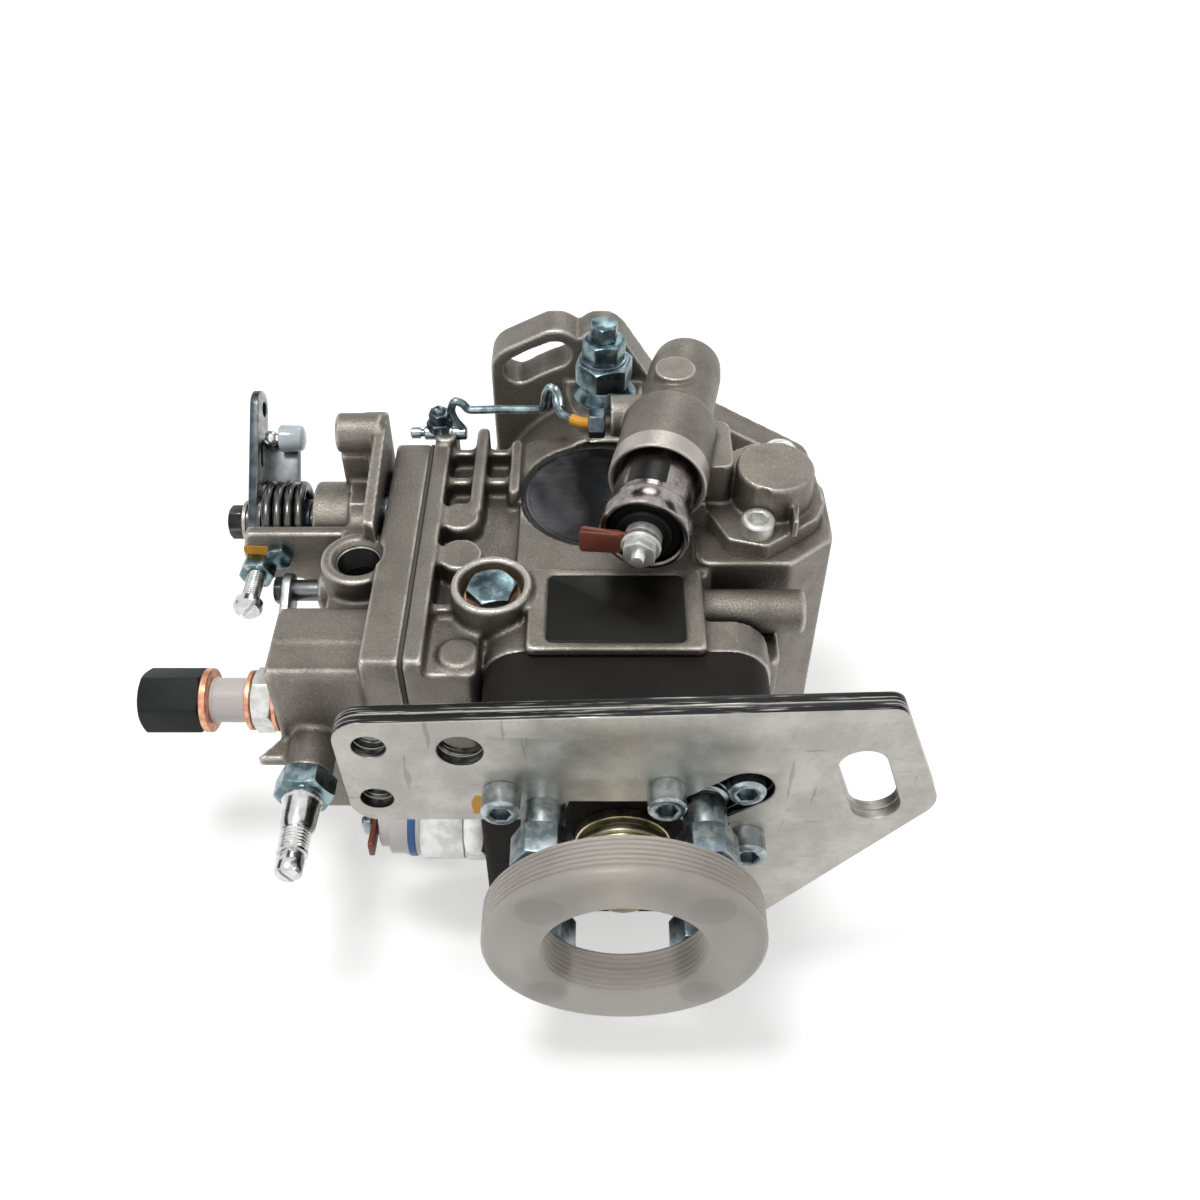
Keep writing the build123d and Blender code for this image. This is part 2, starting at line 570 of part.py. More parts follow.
with BuildPart() as cold_start_terminal:
    turned(columnPlane, [(88.5, 5.2), (89.4, 5.2), (89.4, 2), (97, 2)])
    hexagon(columnPlane.offset(90.8), 8, 4)

with BuildPart() as terminal_flags:
    columnTip = columnPlane.offset(89.5)
    with BuildSketch(columnTip) as flag:
        with Locations((0.5, 9.5)):
            RectangleRounded(6.5, 15, 1.5)
        Circle(2, mode=Mode.SUBTRACT)
    extrude(flag.sketch, amount=1.2)
    with BuildSketch(sideways(-71.6, shutoffY, shutoffZ)) as flag:
        with Locations((-4, -2)):
            RectangleRounded(14, 6.5, 1.5)
        Circle(2, mode=Mode.SUBTRACT)
    extrude(flag.sketch, amount=-1.5)

with BuildPart() as shutoff_solenoid:
    disc(sideways(-31.5, shutoffY, shutoffZ), 7, -8)
    hexagon(sideways(-39.3, shutoffY, shutoffZ), 20, -6.5, turn=10)
    disc(sideways(-45.8, shutoffY, shutoffZ), 10.6, -12.7)
    disc(sideways(-31, shutoffY, shutoffZ), 4.4, -14, Mode.SUBTRACT)

with BuildPart() as shutoff_connector:
    disc(sideways(-58.5, shutoffY, shutoffZ), 9.4, -9)
    disc(sideways(-67.5, shutoffY, shutoffZ), 7, -3)
    disc(sideways(-70.5, shutoffY, shutoffZ), 2, -6)

with BuildPart() as shutoff_plunger:
    turned(sideways(0, shutoffY, shutoffZ), [(-40, 4.25), (-28.5, 4.25), (-26.5, 2)])

# ---- drive line ----

with BuildPart() as drive_shaft:
    turned(rearward(0, 0, 0), [(-47, 6.2), (-46, 7), (-31, 7), (-31, 8.4), (-9, shaftRadius), (54, shaftRadius),
                               (54, 16), (61, 16)])
    for side in (-1, 1):
        box((-4, -69.5, side * 11.5 - 4), (4, -60.5, side * 11.5 + 4))
    disc(upward(-5, -24, 9.4), 4.5, 2, Mode.SUBTRACT)
    block(upward(0, 20, 8), 4, 14, 4, mode=Mode.SUBTRACT)
    block(upward(0, 20, 8), 4, 14, 3.2)

with BuildPart() as shaft_bush:
    tube(rearward(0, -2, 0), bushRadius, shaftRadius + 0.03, 32)
    disc(upward(-5, -24, 8), 4.3, 8, Mode.SUBTRACT)

with BuildPart() as oil_seal:
    tube(rearward(0, pilotLength - 0.5, 0), sealRadius, shaftRadius + 0.05, 6.5)

with BuildPart() as pump_ring:
    with BuildSketch(rearward(0, -36, 0)) as profile:
        Circle(pumpRingRadius)
        with Locations((1.8, 0)):
            Circle(24.6, mode=Mode.SUBTRACT)
    extrude(profile.sketch, amount=13.8)

with BuildPart() as pump_rotor:
    tube(rearward(0, -36.3, 0), 22.3, shaftRadius, 13.2)
    for angle in (0, 90, 180, 270):
        x, z = polar(18, angle)
        turn = Plane(origin=(x, -36.3, z), x_dir=(cos(radians(angle)), 0, sin(radians(angle))), z_dir=(0, -1, 0))
        block(turn, 8.6, 2.6, 13.2, mode=Mode.SUBTRACT)
        block(turn, 8.2, 2.4, 13.2)

with BuildPart() as pump_support_plate:
    tube(rearward(0, -50, 0), pumpRingRadius, 11, 3)

with BuildPart() as drive_gear:
    toothed(rearward(0, gearFrontY, 0), driveTeeth, gearWidth)
    disc(rearward(0, gearFrontY, 0), 16, gearWidth, Mode.SUBTRACT)

with BuildPart() as cross_disc:
    disc(rearward(0, -62, 0), 16.8, 7)
    for side in (-1, 1):
        box((-4.2, -70, side * 12.5 - 5.2), (4.2, -61, side * 12.5 + 5.2), mode=Mode.SUBTRACT)
        box((side * 12.5 - 5.2, -70, -4.2), (side * 12.5 + 5.2, -61, 4.2), mode=Mode.SUBTRACT)

with BuildPart() as roller_ring:
    tube(rearward(0, -63, 0), rollerRingRadius, 18, 13)
    for angle in (45, 135, 225, 315):
        x, z = polar(19, angle)
        axle = Plane(origin=(x, -74.5, z), x_dir=(0, 1, 0), z_dir=(cos(radians(angle)), 0, sin(radians(angle))))
        disc(axle, 4, 8.6, Mode.SUBTRACT)
        disc(axle.offset(0.2), 3.8, 8.2)
    disc(sideways(28.5, timingY, 0), 4, 21.5)

with BuildPart() as cam_plate:
    disc(rearward(0, -82, 0), 27, 6)
    for angle in (0, 90, 180, 270):
        x, z = polar(23, angle)
        lobe = Plane(origin=(x, -80.6, z), x_dir=(0, 1, 0), z_dir=(cos(radians(angle)), 0, sin(radians(angle))))
        hull(lobe.offset(-4), [(0, 0, 2), (-2.5, 6, 1.2), (-2.5, -6, 1.2)], 7.5)
    for side in (-1, 1):
        box((side * 11.8 - 3.4, -82, -4), (side * 11.8 + 3.4, -63, 4))

with BuildPart() as plunger:
    turned(rearward(0, 0, 0), [(88, 9), (91.5, 9), (91.5, plungerRadius), (146.5, plungerRadius), (147.5, 4.5)])

with BuildPart() as control_collar:
    tube(rearward(0, -97.5, 0), 10.2, plungerRadius + 0.03, 11)
    disc(sideways(-12, pivotY, 0), 2.7, 5.2, Mode.SUBTRACT)

with BuildPart() as plunger_springs:
    for side in (-1, 1):
        coil(rearward(0, -93.5, side * 20), 4.9, 0.9, 30.8, 5)

# ---- governor ----

with BuildPart() as governor_pins:
    disc(rearward(governorX, -38, 0), 4, 48)
    disc(upward(pivotX, pivotY, -18), 2, 36)

with BuildPart() as flyweight_cage:
    toothed(rearward(governorX, gearFrontY, 0), pinionTeeth, gearWidth, 180 / pinionTeeth)
    disc(rearward(governorX, gearFrontY - gearWidth, 0), 17.2, 2.8)
    for angle in (0, 90, 180, 270):
        x, z = polar(14.2, angle)
        post = Plane(origin=(governorX + x, -63.5, z), x_dir=(cos(radians(angle)), 0, sin(radians(angle))),
                     z_dir=(0, -1, 0))
        block(post, 6.6, 9, 15)
    disc(rearward(governorX, -50, 0), 4.04, 20, Mode.SUBTRACT)

flyweights = []
for angle in (45, 135, 225, 315):
    with BuildPart() as flyweight:
        side = Plane(origin=(governorX, 0, 0), x_dir=(cos(radians(angle)), 0, sin(radians(angle))),
                     z_dir=(-sin(radians(angle)), 0, cos(radians(angle))))
        polygon(side.offset(-3.8), [(9.3, -64.8), (16.6, -64.8), (17.2, -66), (17.2, -79.5), (12.2, -79.5),
                                    (12.2, -67.3), (9.3, -67.3)], 7.6)
        disc(Plane(origin=side.offset(-3.8).from_local_coords((15.5, -66, 0)), z_dir=side.z_dir), 1.7, 7.6)
    flyweights.append(flyweight)

with BuildPart() as governor_sleeve:
    turned(rearward(governorX, 0, 0), [(67.7, 10.2), (69.7, 10.2), (69.7, 6.5), (88.5, 6.5), (89.8, 4)])
    disc(rearward(governorX, -67, 0), 4.05, 20.5, Mode.SUBTRACT)

with BuildPart() as governor_lever:
    block(rearward(-52, -90.3, 0), 58, 16, 3)
    box((pivotX - 5, -104, -8), (pivotX + 4, -91, 8))
    disc(upward(pivotX, pivotY, -8), 5, 16)
    disc(sideways(pivotX, pivotY, 0), 1.9, ballX - pivotX)
    with Locations((ballX, pivotY, 0)):
        Sphere(2.3)
    disc(upward(pivotX, pivotY, -9), 2.03, 18, Mode.SUBTRACT)

with BuildPart() as governor_spring:
    coil(rearward(-78.3, -57, 0), 2.4, 0.55, 32.5, 6)

# ---- timing device ----

with BuildPart() as timing_piston:
    disc(upward(timingX, timingY, -16), timingBoreRadius - 0.03, 32)
    disc(upward(timingX, timingY, 9), 8.5, 8, Mode.SUBTRACT)
    block(sideways(30, timingY, 0), 9, 14.4, 21, mode=Mode.SUBTRACT)

with BuildPart() as timing_spring:
    coil(upward(timingX - 0.6, timingY, 10.5), 6.4, 0.9, 41.5, 5)

pieces = {
    "pump_housing": pump_housing,
    "nameplate": nameplate,
    "side_cover_disc": side_cover_disc,
    "side_plug": side_plug,
    "shaft_lock_bolt": shaft_lock_bolt,
    "link_wire": link_wire,
    "cover_gasket": cover_gasket,
    "governor_cover": governor_cover,
    "casting_screws": casting_screws,
    "overflow_hex": overflow_hex,
    "copper_washers": copper_washers,
    "overflow_sleeve": overflow_sleeve,
    "overflow_cap": overflow_cap,
    "adjusting_screws": adjusting_screws,
    "lock_nuts": lock_nuts,
    "control_shaft": control_shaft,
    "control_lever": control_lever,
    "lever_end_cap": lever_end_cap,
    "lever_return_spring": lever_return_spring,
    "stop_lever": stop_lever,
    "distributor_head": distributor_head,
    "bracket_rear_plate": bracket_rear_plate,
    "bracket_front_plate": bracket_front_plate,
    "socket_screws": socket_screws,
    "delivery_valve_holders": delivery_valve_holders,
    "head_plug": head_plug,
    "delivery_cap_ring": delivery_cap_ring,
    "timing_cover_upper": timing_cover_upper,
    "timing_cover_lower": timing_cover_lower,
    "cold_start_solenoid": cold_start_solenoid,
    "cold_start_cap": cold_start_cap,
    "cold_start_terminal": cold_start_terminal,
    "terminal_flags": terminal_flags,
    "shutoff_solenoid": shutoff_solenoid,
    "shutoff_connector": shutoff_connector,
    "shutoff_plunger": shutoff_plunger,
    "drive_shaft": drive_shaft,
    "shaft_bush": shaft_bush,
    "oil_seal": oil_seal,
    "pump_ring": pump_ring,
    "pump_rotor": pump_rotor,
    "pump_support_plate": pump_support_plate,
    "drive_gear": drive_gear,
    "cross_disc": cross_disc,
    "roller_ring": roller_ring,
    "cam_plate": cam_plate,
    "plunger": plunger,
    "control_collar": control_collar,
    "plunger_springs": plunger_springs,
    "governor_pins": governor_pins,
    "flyweight_cage": flyweight_cage,
    "governor_sleeve": governor_sleeve,
    "governor_lever": governor_lever,
    "governor_spring": governor_spring,
    "timing_piston": timing_piston,
    "timing_spring": timing_spring,
}
for number, flyweight in enumerate(flyweights, start=1):
    pieces[f"flyweight_{number}"] = flyweight

for name, piece in pieces.items():
    piece.part.label = name
    export_step(piece.part, f"parts/{name}.step")
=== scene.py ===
import bmesh
import bpy
import json
from math import acos, atan2, cos, pi, radians, sin, tan
from mathutils import Matrix, Vector


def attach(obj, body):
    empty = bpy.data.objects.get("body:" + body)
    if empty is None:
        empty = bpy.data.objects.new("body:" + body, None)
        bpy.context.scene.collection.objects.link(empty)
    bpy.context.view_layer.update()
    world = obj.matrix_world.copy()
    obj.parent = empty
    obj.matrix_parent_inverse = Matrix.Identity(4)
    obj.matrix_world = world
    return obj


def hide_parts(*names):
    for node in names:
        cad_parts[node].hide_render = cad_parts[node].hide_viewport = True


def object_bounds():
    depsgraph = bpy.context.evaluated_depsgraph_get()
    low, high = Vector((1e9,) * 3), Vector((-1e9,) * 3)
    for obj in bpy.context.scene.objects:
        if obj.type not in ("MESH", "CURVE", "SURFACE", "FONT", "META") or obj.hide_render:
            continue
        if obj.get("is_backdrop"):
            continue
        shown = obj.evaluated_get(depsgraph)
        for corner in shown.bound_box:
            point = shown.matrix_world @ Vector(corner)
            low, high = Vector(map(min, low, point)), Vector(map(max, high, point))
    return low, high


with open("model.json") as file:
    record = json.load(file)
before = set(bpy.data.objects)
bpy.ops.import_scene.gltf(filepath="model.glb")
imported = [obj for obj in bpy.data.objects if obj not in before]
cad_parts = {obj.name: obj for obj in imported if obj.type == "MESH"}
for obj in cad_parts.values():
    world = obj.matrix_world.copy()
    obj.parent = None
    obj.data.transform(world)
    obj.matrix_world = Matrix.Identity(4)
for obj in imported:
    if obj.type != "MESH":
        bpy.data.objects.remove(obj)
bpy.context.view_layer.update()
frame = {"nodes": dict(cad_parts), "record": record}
mm = 0.001
print("frame loaded")


class Wire:
    # a node's output that takes ordinary arithmetic
    def __init__(self, finish, socket):
        self.finish, self.socket = finish, socket

    def math(self, operation, *values):
        return self.finish.node("ShaderNodeMath", {"operation": operation}, list(values))

    def __add__(self, other):
        return self.math("ADD", self, other)

    def __sub__(self, other):
        return self.math("SUBTRACT", self, other)

    def __rsub__(self, other):
        return self.math("SUBTRACT", other, self)

    def __mul__(self, other):
        return self.math("MULTIPLY", self, other)

    __radd__ = __add__
    __rmul__ = __mul__

    def between(self, low, high):
        # 0 below low, 1 above high, smooth in between
        return self.finish.node("ShaderNodeMapRange", {"interpolation_type": "SMOOTHSTEP"}, [self, low, high, 0.0, 1.0])


class Finish:
    # a material or a world, with the ways to add nodes to it
    def __init__(self, name, shelf=bpy.data.materials):
        self.owner = shelf.new(name)
        self.owner.use_nodes = True
        self.tree = self.owner.node_tree
        self.tree.nodes.clear()
        self.place = self.node("ShaderNodeTexCoord", output="Object")

    def node(self, kind, settings=None, inputs=None, output=0):
        made = self.tree.nodes.new(kind)
        for key, value in (settings or {}).items():
            if key == "stops":
                ramp = made.color_ramp.elements
                while len(ramp) < len(value):
                    ramp.new(0.5)
                for stop, (position, colour) in zip(ramp, value):
                    stop.position, stop.color = position, (*colour, 1)
            else:
                setattr(made, key, value)
        pairs = inputs.items() if isinstance(inputs, dict) else enumerate(inputs or [])
        for key, value in pairs:
            if isinstance(value, Wire):
                self.tree.links.new(value.socket, made.inputs[key])
            else:
                made.inputs[key].default_value = value
        return Wire(self, made.outputs[output]) if made.outputs else None

    def rays(self, kind):
        return self.node("ShaderNodeLightPath", output=kind)

    def grain(self, scale, detail=3.0, rough=0.55, stretch=None):
        # noise with its scale in waves per metre
        place = self.place
        if stretch:
            place = self.node("ShaderNodeMapping", inputs={"Vector": place, "Scale": stretch})
        return self.node("ShaderNodeTexNoise", inputs={"Vector": place, "Scale": scale, "Detail": detail,
                                                       "Roughness": rough})

    def mix(self, factor, first, second):
        def colour(value):
            return value if isinstance(value, Wire) else (*value, 1)
        return self.node("ShaderNodeMix", {"data_type": "RGBA"},
                         {0: factor, 6: colour(first), 7: colour(second)}, output=2)

    def edges(self, low=0.5, high=0.62):
        # 1 on outer edges, 0 on flat ground
        return self.node("ShaderNodeNewGeometry", output="Pointiness").between(low, high)

    def openness(self, reach):
        # 1 where nothing of the same piece is near, towards 0 in its hollows
        return self.node("ShaderNodeAmbientOcclusion", {"only_local": True, "samples": 8}, {"Distance": reach},
                         output=1)

    def bump(self, height, strength, distance):
        return self.node("ShaderNodeBump", inputs={"Strength": strength, "Distance": distance, "Height": height})

    def done(self, **inputs):
        values = {key.replace("_", " "): value for key, value in inputs.items()}
        shader = self.node("ShaderNodeBsdfPrincipled", inputs=values)
        self.node("ShaderNodeOutputMaterial", inputs={"Surface": shader})
        return self.owner


castLook = {
    "body": (0.25, 0.228, 0.196),
    "shade": (0.13, 0.115, 0.097),
    "hollowShade": (0.045, 0.037, 0.03),
    "edge": (0.68, 0.645, 0.59),
    "grainPerMetre": 1700,
    "speckPerMetre": 1150,
    "cloudPerMetre": 90,
    "hollowShadeReach": 0.012,  # metres within which a wall counts as making a hollow
    "metallic": 0.72,
    "roughness": 0.36,
}


def castAluminium(name, look=castLook):
    f = Finish(name)
    fine = f.grain(look["grainPerMetre"], 2.0)
    speck = f.grain(look["speckPerMetre"], 3.0, 0.7)
    cloud = f.grain(look["cloudPerMetre"], 4.0)
    brightEdges = f.edges(0.508, 0.545)
    openness = f.openness(look["hollowShadeReach"])
    colour = f.mix(cloud.between(0.40, 0.68) * 0.45, look["body"], look["shade"])
    colour = f.mix(speck.between(0.50, 0.70) * 0.5, colour, look["shade"])
    colour = f.mix(fine.between(0.58, 0.74) * 0.3, colour, look["edge"])
    # painted shade: the colour goes dark in hollows, where the piece's own walls close in
    colour = f.mix((1 - openness.between(0.30, 0.92)) * 0.85, colour, look["hollowShade"])
    # lighter edges: partly wear, partly a painted highlight
    colour = f.mix(brightEdges * 0.7, colour, look["edge"])
    normal = f.bump(fine + 0.7 * speck, 0.5, 0.0003)
    return f.done(Base_Color=colour, Metallic=look["metallic"],
                  Roughness=look["roughness"] + 0.16 * cloud - 0.10 * brightEdges, Normal=normal)


def darkCasting(name):
    f = Finish(name)
    coarse = f.grain(1300, 3.0)
    cloud = f.grain(120, 3.0)
    brightEdges = f.edges(0.53, 0.63)
    colour = f.mix(cloud, (0.0085, 0.0075, 0.0068), (0.021, 0.0185, 0.0165))
    colour = f.mix(brightEdges * 0.4, colour, (0.075, 0.064, 0.054))
    normal = f.bump(coarse, 0.75, 0.00035)
    return f.done(Base_Color=colour, Metallic=0.1, Roughness=0.6 + 0.2 * coarse, Normal=normal,
                  Specular_IOR_Level=0.22)


def zincPlate(name):
    # bright plating with cloudy patches and dark short scratches
    f = Finish(name)
    cloud = f.grain(55, 5.0, 0.65)
    spots = f.grain(700, 3.0, 0.7)
    scratch = f.grain(340, 3.0, 0.6, stretch=(1.0, 1.0, 0.10)).between(0.66, 0.70)
    scrape = f.grain(300, 2.0, 0.6, stretch=(0.12, 1.0, 1.0)).between(0.665, 0.70)
    colour = f.mix(cloud.between(0.35, 0.65), (0.40, 0.388, 0.352), (0.55, 0.535, 0.49))
    colour = f.mix(spots.between(0.56, 0.74) * 0.35, colour, (0.28, 0.272, 0.245))
    colour = f.mix((scratch + scrape) * 0.4, colour, (0.17, 0.165, 0.15))
    normal = f.bump(spots + 0.5 * cloud, 0.12, 0.0002)
    return f.done(Base_Color=colour, Metallic=0.9, Roughness=0.30 + 0.2 * cloud + 0.10 * spots, Normal=normal)


def platedSteel(name, tint=(0.40, 0.45, 0.48), pale=(0.66, 0.68, 0.67), roughness=0.26, metallic=1.0):
    f = Finish(name)
    cloud = f.grain(260, 4.0, 0.6)
    fine = f.grain(2400, 2.0)
    brightEdges = f.edges(0.52, 0.60)
    colour = f.mix(cloud.between(0.40, 0.62), tint, pale)
    colour = f.mix(brightEdges * 0.5, colour, (0.80, 0.80, 0.78))
    return f.done(Base_Color=colour, Metallic=metallic, Roughness=roughness + 0.16 * cloud,
                  Normal=f.bump(fine + 0.8 * cloud, 0.08, 0.0001))


def plainPlastic(name, body, shade, roughness, bumpScale=900, bump=0.06, coat=0.0, gloss=0.5):
    f = Finish(name)
    cloud = f.grain(140, 3.0)
    fine = f.grain(bumpScale, 3.0)
    colour = f.mix(cloud, body, shade)
    return f.done(Base_Color=colour, Roughness=roughness + 0.1 * fine, Coat_Weight=coat, Specular_IOR_Level=gloss,
                  Normal=f.bump(fine, bump * 4, 0.00012))


milkyLook = {
    "body": (0.665, 0.628, 0.58),
    "pale": (0.765, 0.73, 0.68),
    "shadow": (0.40, 0.375, 0.355),
    "holeOffset": 0.021,  # metres from the axis to a hole's centre, both ways
    "holeRadius": 0.0062,
}


def milkyPlastic(name, look=milkyLook):
    # thin-walled pale moulding that lets light and blurred shapes through, darker in front of its four holes
    f = Finish(name)
    cloud = f.grain(120, 3.0)
    fine = f.grain(1500, 2.0)
    offset, radius = look["holeOffset"], look["holeRadius"]
    folded = f.node("ShaderNodeVectorMath", {"operation": "ABSOLUTE"}, [f.place])
    flat = f.node("ShaderNodeVectorMath", {"operation": "MULTIPLY"}, [folded, (1, 0, 1)])
    away = f.node("ShaderNodeVectorMath", {"operation": "DISTANCE"}, [flat, (offset, 0, offset)], output=1)
    hole = 1 - away.between(radius * 0.9, radius * 1.08)
    colour = f.mix(cloud, look["body"], look["pale"])
    colour = f.mix(hole * 0.3, colour, look["shadow"])
    return f.done(Base_Color=colour, Roughness=0.30 + 0.1 * fine, IOR=1.35, Transmission_Weight=0.5,
                  Normal=f.bump(fine, 0.05, 0.0001))


def glossyDisc(name):
    # dark pressed disc with a cloudy sheen
    f = Finish(name)
    cloud = f.grain(70, 3.0, 0.5)
    rub = f.grain(420, 3.0, 0.6, stretch=(0.15, 1.0, 1.0))
    colour = f.mix(cloud.between(0.40, 0.66), (0.018, 0.017, 0.018), (0.062, 0.060, 0.066))
    return f.done(Base_Color=colour, Metallic=0.35, Roughness=0.17 + 0.22 * rub, Specular_IOR_Level=0.4,
                  Normal=f.bump(rub + cloud, 0.08, 0.0002))


def shadedStreakedEdge(name):
    # sheared edge of a plate: dark, with thin bright lines along it; on hole walls the dark is painted shade
    f = Finish(name)
    streak = f.grain(1700, 3.0, 0.6, stretch=(0.03, 1.0, 0.03))
    colour = f.mix(streak.between(0.55, 0.66), (0.03, 0.031, 0.03), (0.50, 0.50, 0.47))
    return f.done(Base_Color=colour, Metallic=0.85, Roughness=0.28 + 0.1 * streak,
                  Normal=f.bump(streak, 0.2, 0.0001))


def copperRing(name):
    f = Finish(name)
    cloud = f.grain(400, 3.0)
    colour = f.mix(cloud.between(0.35, 0.65), (0.62, 0.27, 0.15), (0.86, 0.50, 0.34))
    return f.done(Base_Color=colour, Metallic=0.9, Roughness=0.34 + 0.15 * cloud, Normal=f.bump(cloud, 0.1, 0.0001))


finishes = {
    "cast": castAluminium("castAluminium"),
    "castDark": darkCasting("darkCasting"),
    "zincPlate": zincPlate("zincPlate"),
    # blue-grey zinc plating, its base colours darker than the metal's own as a painted dark reflection; zincTeal is a
    # darker copy
    "zincBlue": platedSteel("zincBlue", (0.17, 0.23, 0.26), (0.43, 0.48, 0.49), 0.22),
    "zincTeal": platedSteel("zincTeal", (0.10, 0.16, 0.18), (0.30, 0.40, 0.43), 0.22),
    "zincNavy": platedSteel("zincNavy", (0.035, 0.06, 0.085), (0.11, 0.15, 0.18), 0.24),
    "zincPale": platedSteel("zincPale", (0.60, 0.61, 0.58), (0.78, 0.78, 0.75), 0.34, 0.8),
    "chrome": platedSteel("chrome", (0.55, 0.56, 0.56), (0.72, 0.72, 0.71), 0.12),
    "canChrome": platedSteel("canChrome", (0.17, 0.145, 0.14), (0.36, 0.32, 0.315), 0.12),
    "yellowZinc": platedSteel("yellowZinc", (0.50, 0.44, 0.27), (0.68, 0.62, 0.46), 0.24),
    "ground": platedSteel("groundSteel", (0.42, 0.41, 0.40), (0.56, 0.55, 0.54), 0.30),
    "spring": platedSteel("springSteel", (0.006, 0.007, 0.007), (0.018, 0.019, 0.019), 0.16),
    "bronze": platedSteel("bearingBronze", (0.14, 0.115, 0.06), (0.27, 0.22, 0.13), 0.32),
    "darkZinc": platedSteel("darkZinc", (0.018, 0.026, 0.033), (0.055, 0.066, 0.078), 0.24),
    "leverZinc": platedSteel("leverZinc", (0.24, 0.25, 0.245), (0.46, 0.46, 0.43), 0.3),
    "copper": copperRing("copperRing"),
    "icyPlastic": plainPlastic("icyPlastic", (0.50, 0.58, 0.64), (0.70, 0.76, 0.79), 0.2, 400, 0.2, 0.4),
    "milky": milkyPlastic("milkyPlastic"),
    "nylon": plainPlastic("whiteNylon", (0.62, 0.58, 0.555), (0.74, 0.70, 0.68), 0.32),
    "blackPlastic": plainPlastic("blackPlastic", (0.010, 0.014, 0.013), (0.020, 0.025, 0.024), 0.5, 1500, 0.12,
                                 gloss=0.2),
    "rubber": plainPlastic("blackRubber", (0.003, 0.003, 0.003), (0.007, 0.0065, 0.0065), 0.45, gloss=0.16),
    "plate": plainPlastic("blackPlate", (0.003, 0.003, 0.003), (0.011, 0.010, 0.009), 0.3, 300, 0.03, gloss=0.22),
    "flag": plainPlastic("redBrownPlastic", (0.17, 0.045, 0.028), (0.24, 0.07, 0.04), 0.35),
    "orange": plainPlastic("orangePaint", (0.78, 0.33, 0.02), (0.92, 0.46, 0.04), 0.4),
    "bluePlastic": plainPlastic("bluePlastic", (0.03, 0.10, 0.30), (0.05, 0.14, 0.36), 0.35),
    "gasket": plainPlastic("gasketPaper", (0.075, 0.068, 0.06), (0.105, 0.096, 0.085), 0.8),
    "plateEdge": shadedStreakedEdge("plateEdge"),
    "disc": glossyDisc("glossyDisc"),
}
slotFinish = {
    "cast_housing": "cast", "cast_cover": "cast", "dark_casting": "castDark", "zinc_plate": "zincPlate",
    "zinc_fastener": "zincBlue", "yellow_zinc": "yellowZinc", "bright_steel": "chrome", "solenoid_can": "canChrome",
    "zinc_can": "zincPale", "copper": "copper", "black_plate": "plate", "dark_disc": "disc",
    "clear_plastic": "milky", "white_nylon": "nylon", "black_plastic": "blackPlastic", "black_rubber": "rubber",
    "flag_plastic": "flag", "gasket_paper": "gasket", "lever_steel": "leverZinc", "spring_steel": "spring",
    "machined_steel": "ground", "hardened_steel": "ground", "bearing_bronze": "bronze", "bare_aluminium": "ground",
}
nodeSlot = {part["node"]: part["material_slot"] for part in frame["record"]["subparts"]}
for node, slot in nodeSlot.items():
    mesh = frame["nodes"][node].data
    mesh.materials.clear()
    mesh.materials.append(finishes[slotFinish[slot]])
print("finishes made")


def seat(origin, across, out):
    # place whose Z axis runs along out and whose X axis runs along across
    z, x = Vector(out).normalized(), Vector(across).normalized()
    turn = Matrix((x, z.cross(x), z)).transposed().to_4x4()
    turn.translation = Vector(origin)
    return turn


def rearward(x, y, z):
    return seat((x, y, z), (1, 0, 0), (0, -1, 0))


def upward(x, y, z):
    return seat((x, y, z), (1, 0, 0), (0, 0, 1))


def sideways(x, y, z):
    return seat((x, y, z), (0, 1, 0), (1, 0, 0))


def leftward(x, y, z):
    return seat((x, y, z), (0, 1, 0), (-1, 0, 0))


def rings(bm, place, loops, closed=False):
    # skin over a row of point loops of one count, capped at both ends or closed into a loop itself
    rows = [[bm.verts.new(place @ Vector(point)) for point in loop] for loop in loops]
    pairs = list(zip(rows, rows[1:]))
    if closed:
        pairs.append((rows[-1], rows[0]))
    for low, high in pairs:
        for i in range(len(low)):
            j = (i + 1) % len(low)
            bm.faces.new((low[i], low[j], high[j], high[i]))
    if not closed:
        bm.faces.new(list(reversed(rows[0])))
        bm.faces.new(rows[-1])


def circle(radius, along, steps, turn=0.0):
    return [(radius * cos(2 * pi * i / steps + turn), radius * sin(2 * pi * i / steps + turn), along)
            for i in range(steps)]


def lathe(bm, place, profile, steps=48, closed=False):
    # profile: (along, radius) pairs; closed joins the last ring to the first, for pieces with a bore
    rings(bm, place, [circle(radius, along, steps) for along, radius in profile], closed=closed)


hexSteps = 8  # points along each flat of a hexagon


def hexLoop(across, along, turn=0.0, limit=None):
    # one turn of a hexagon, its corners cut back to a circle of radius limit
    points = []
    for i in range(6 * hexSteps):
        angle = 2 * pi * i / (6 * hexSteps)
        reach = across / 2 / cos((angle % (pi / 3)) - pi / 6)
        reach = min(reach, limit) if limit else reach
        points.append((reach * cos(angle + turn), reach * sin(angle + turn), along))
    return points


def hexNut(bm, place, across, height, bore=0.0, turn=0.0, start=True):
    # hexagon whose corners a cone cuts back at its end, and at its start unless start is False
    flat, mid, slope = across / 2 * 0.94, across / 2 * 0.985, tan(radians(28))

    def corners(along, sign):
        return [(x, y, along + sign * max(0.0, (x * x + y * y) ** 0.5 - mid) * slope)
                for x, y, _ in hexLoop(across, 0, turn)]

    loops = [hexLoop(across, 0, turn, flat), corners(0.06, 1)] if start else [hexLoop(across, 0, turn)]
    loops += [corners(height - 0.06, -1), hexLoop(across, height, turn, flat)]
    if bore:
        loops += [circle(bore, along, 6 * hexSteps, turn) for along in (height, 0)]
    rings(bm, place, loops, closed=bool(bore))


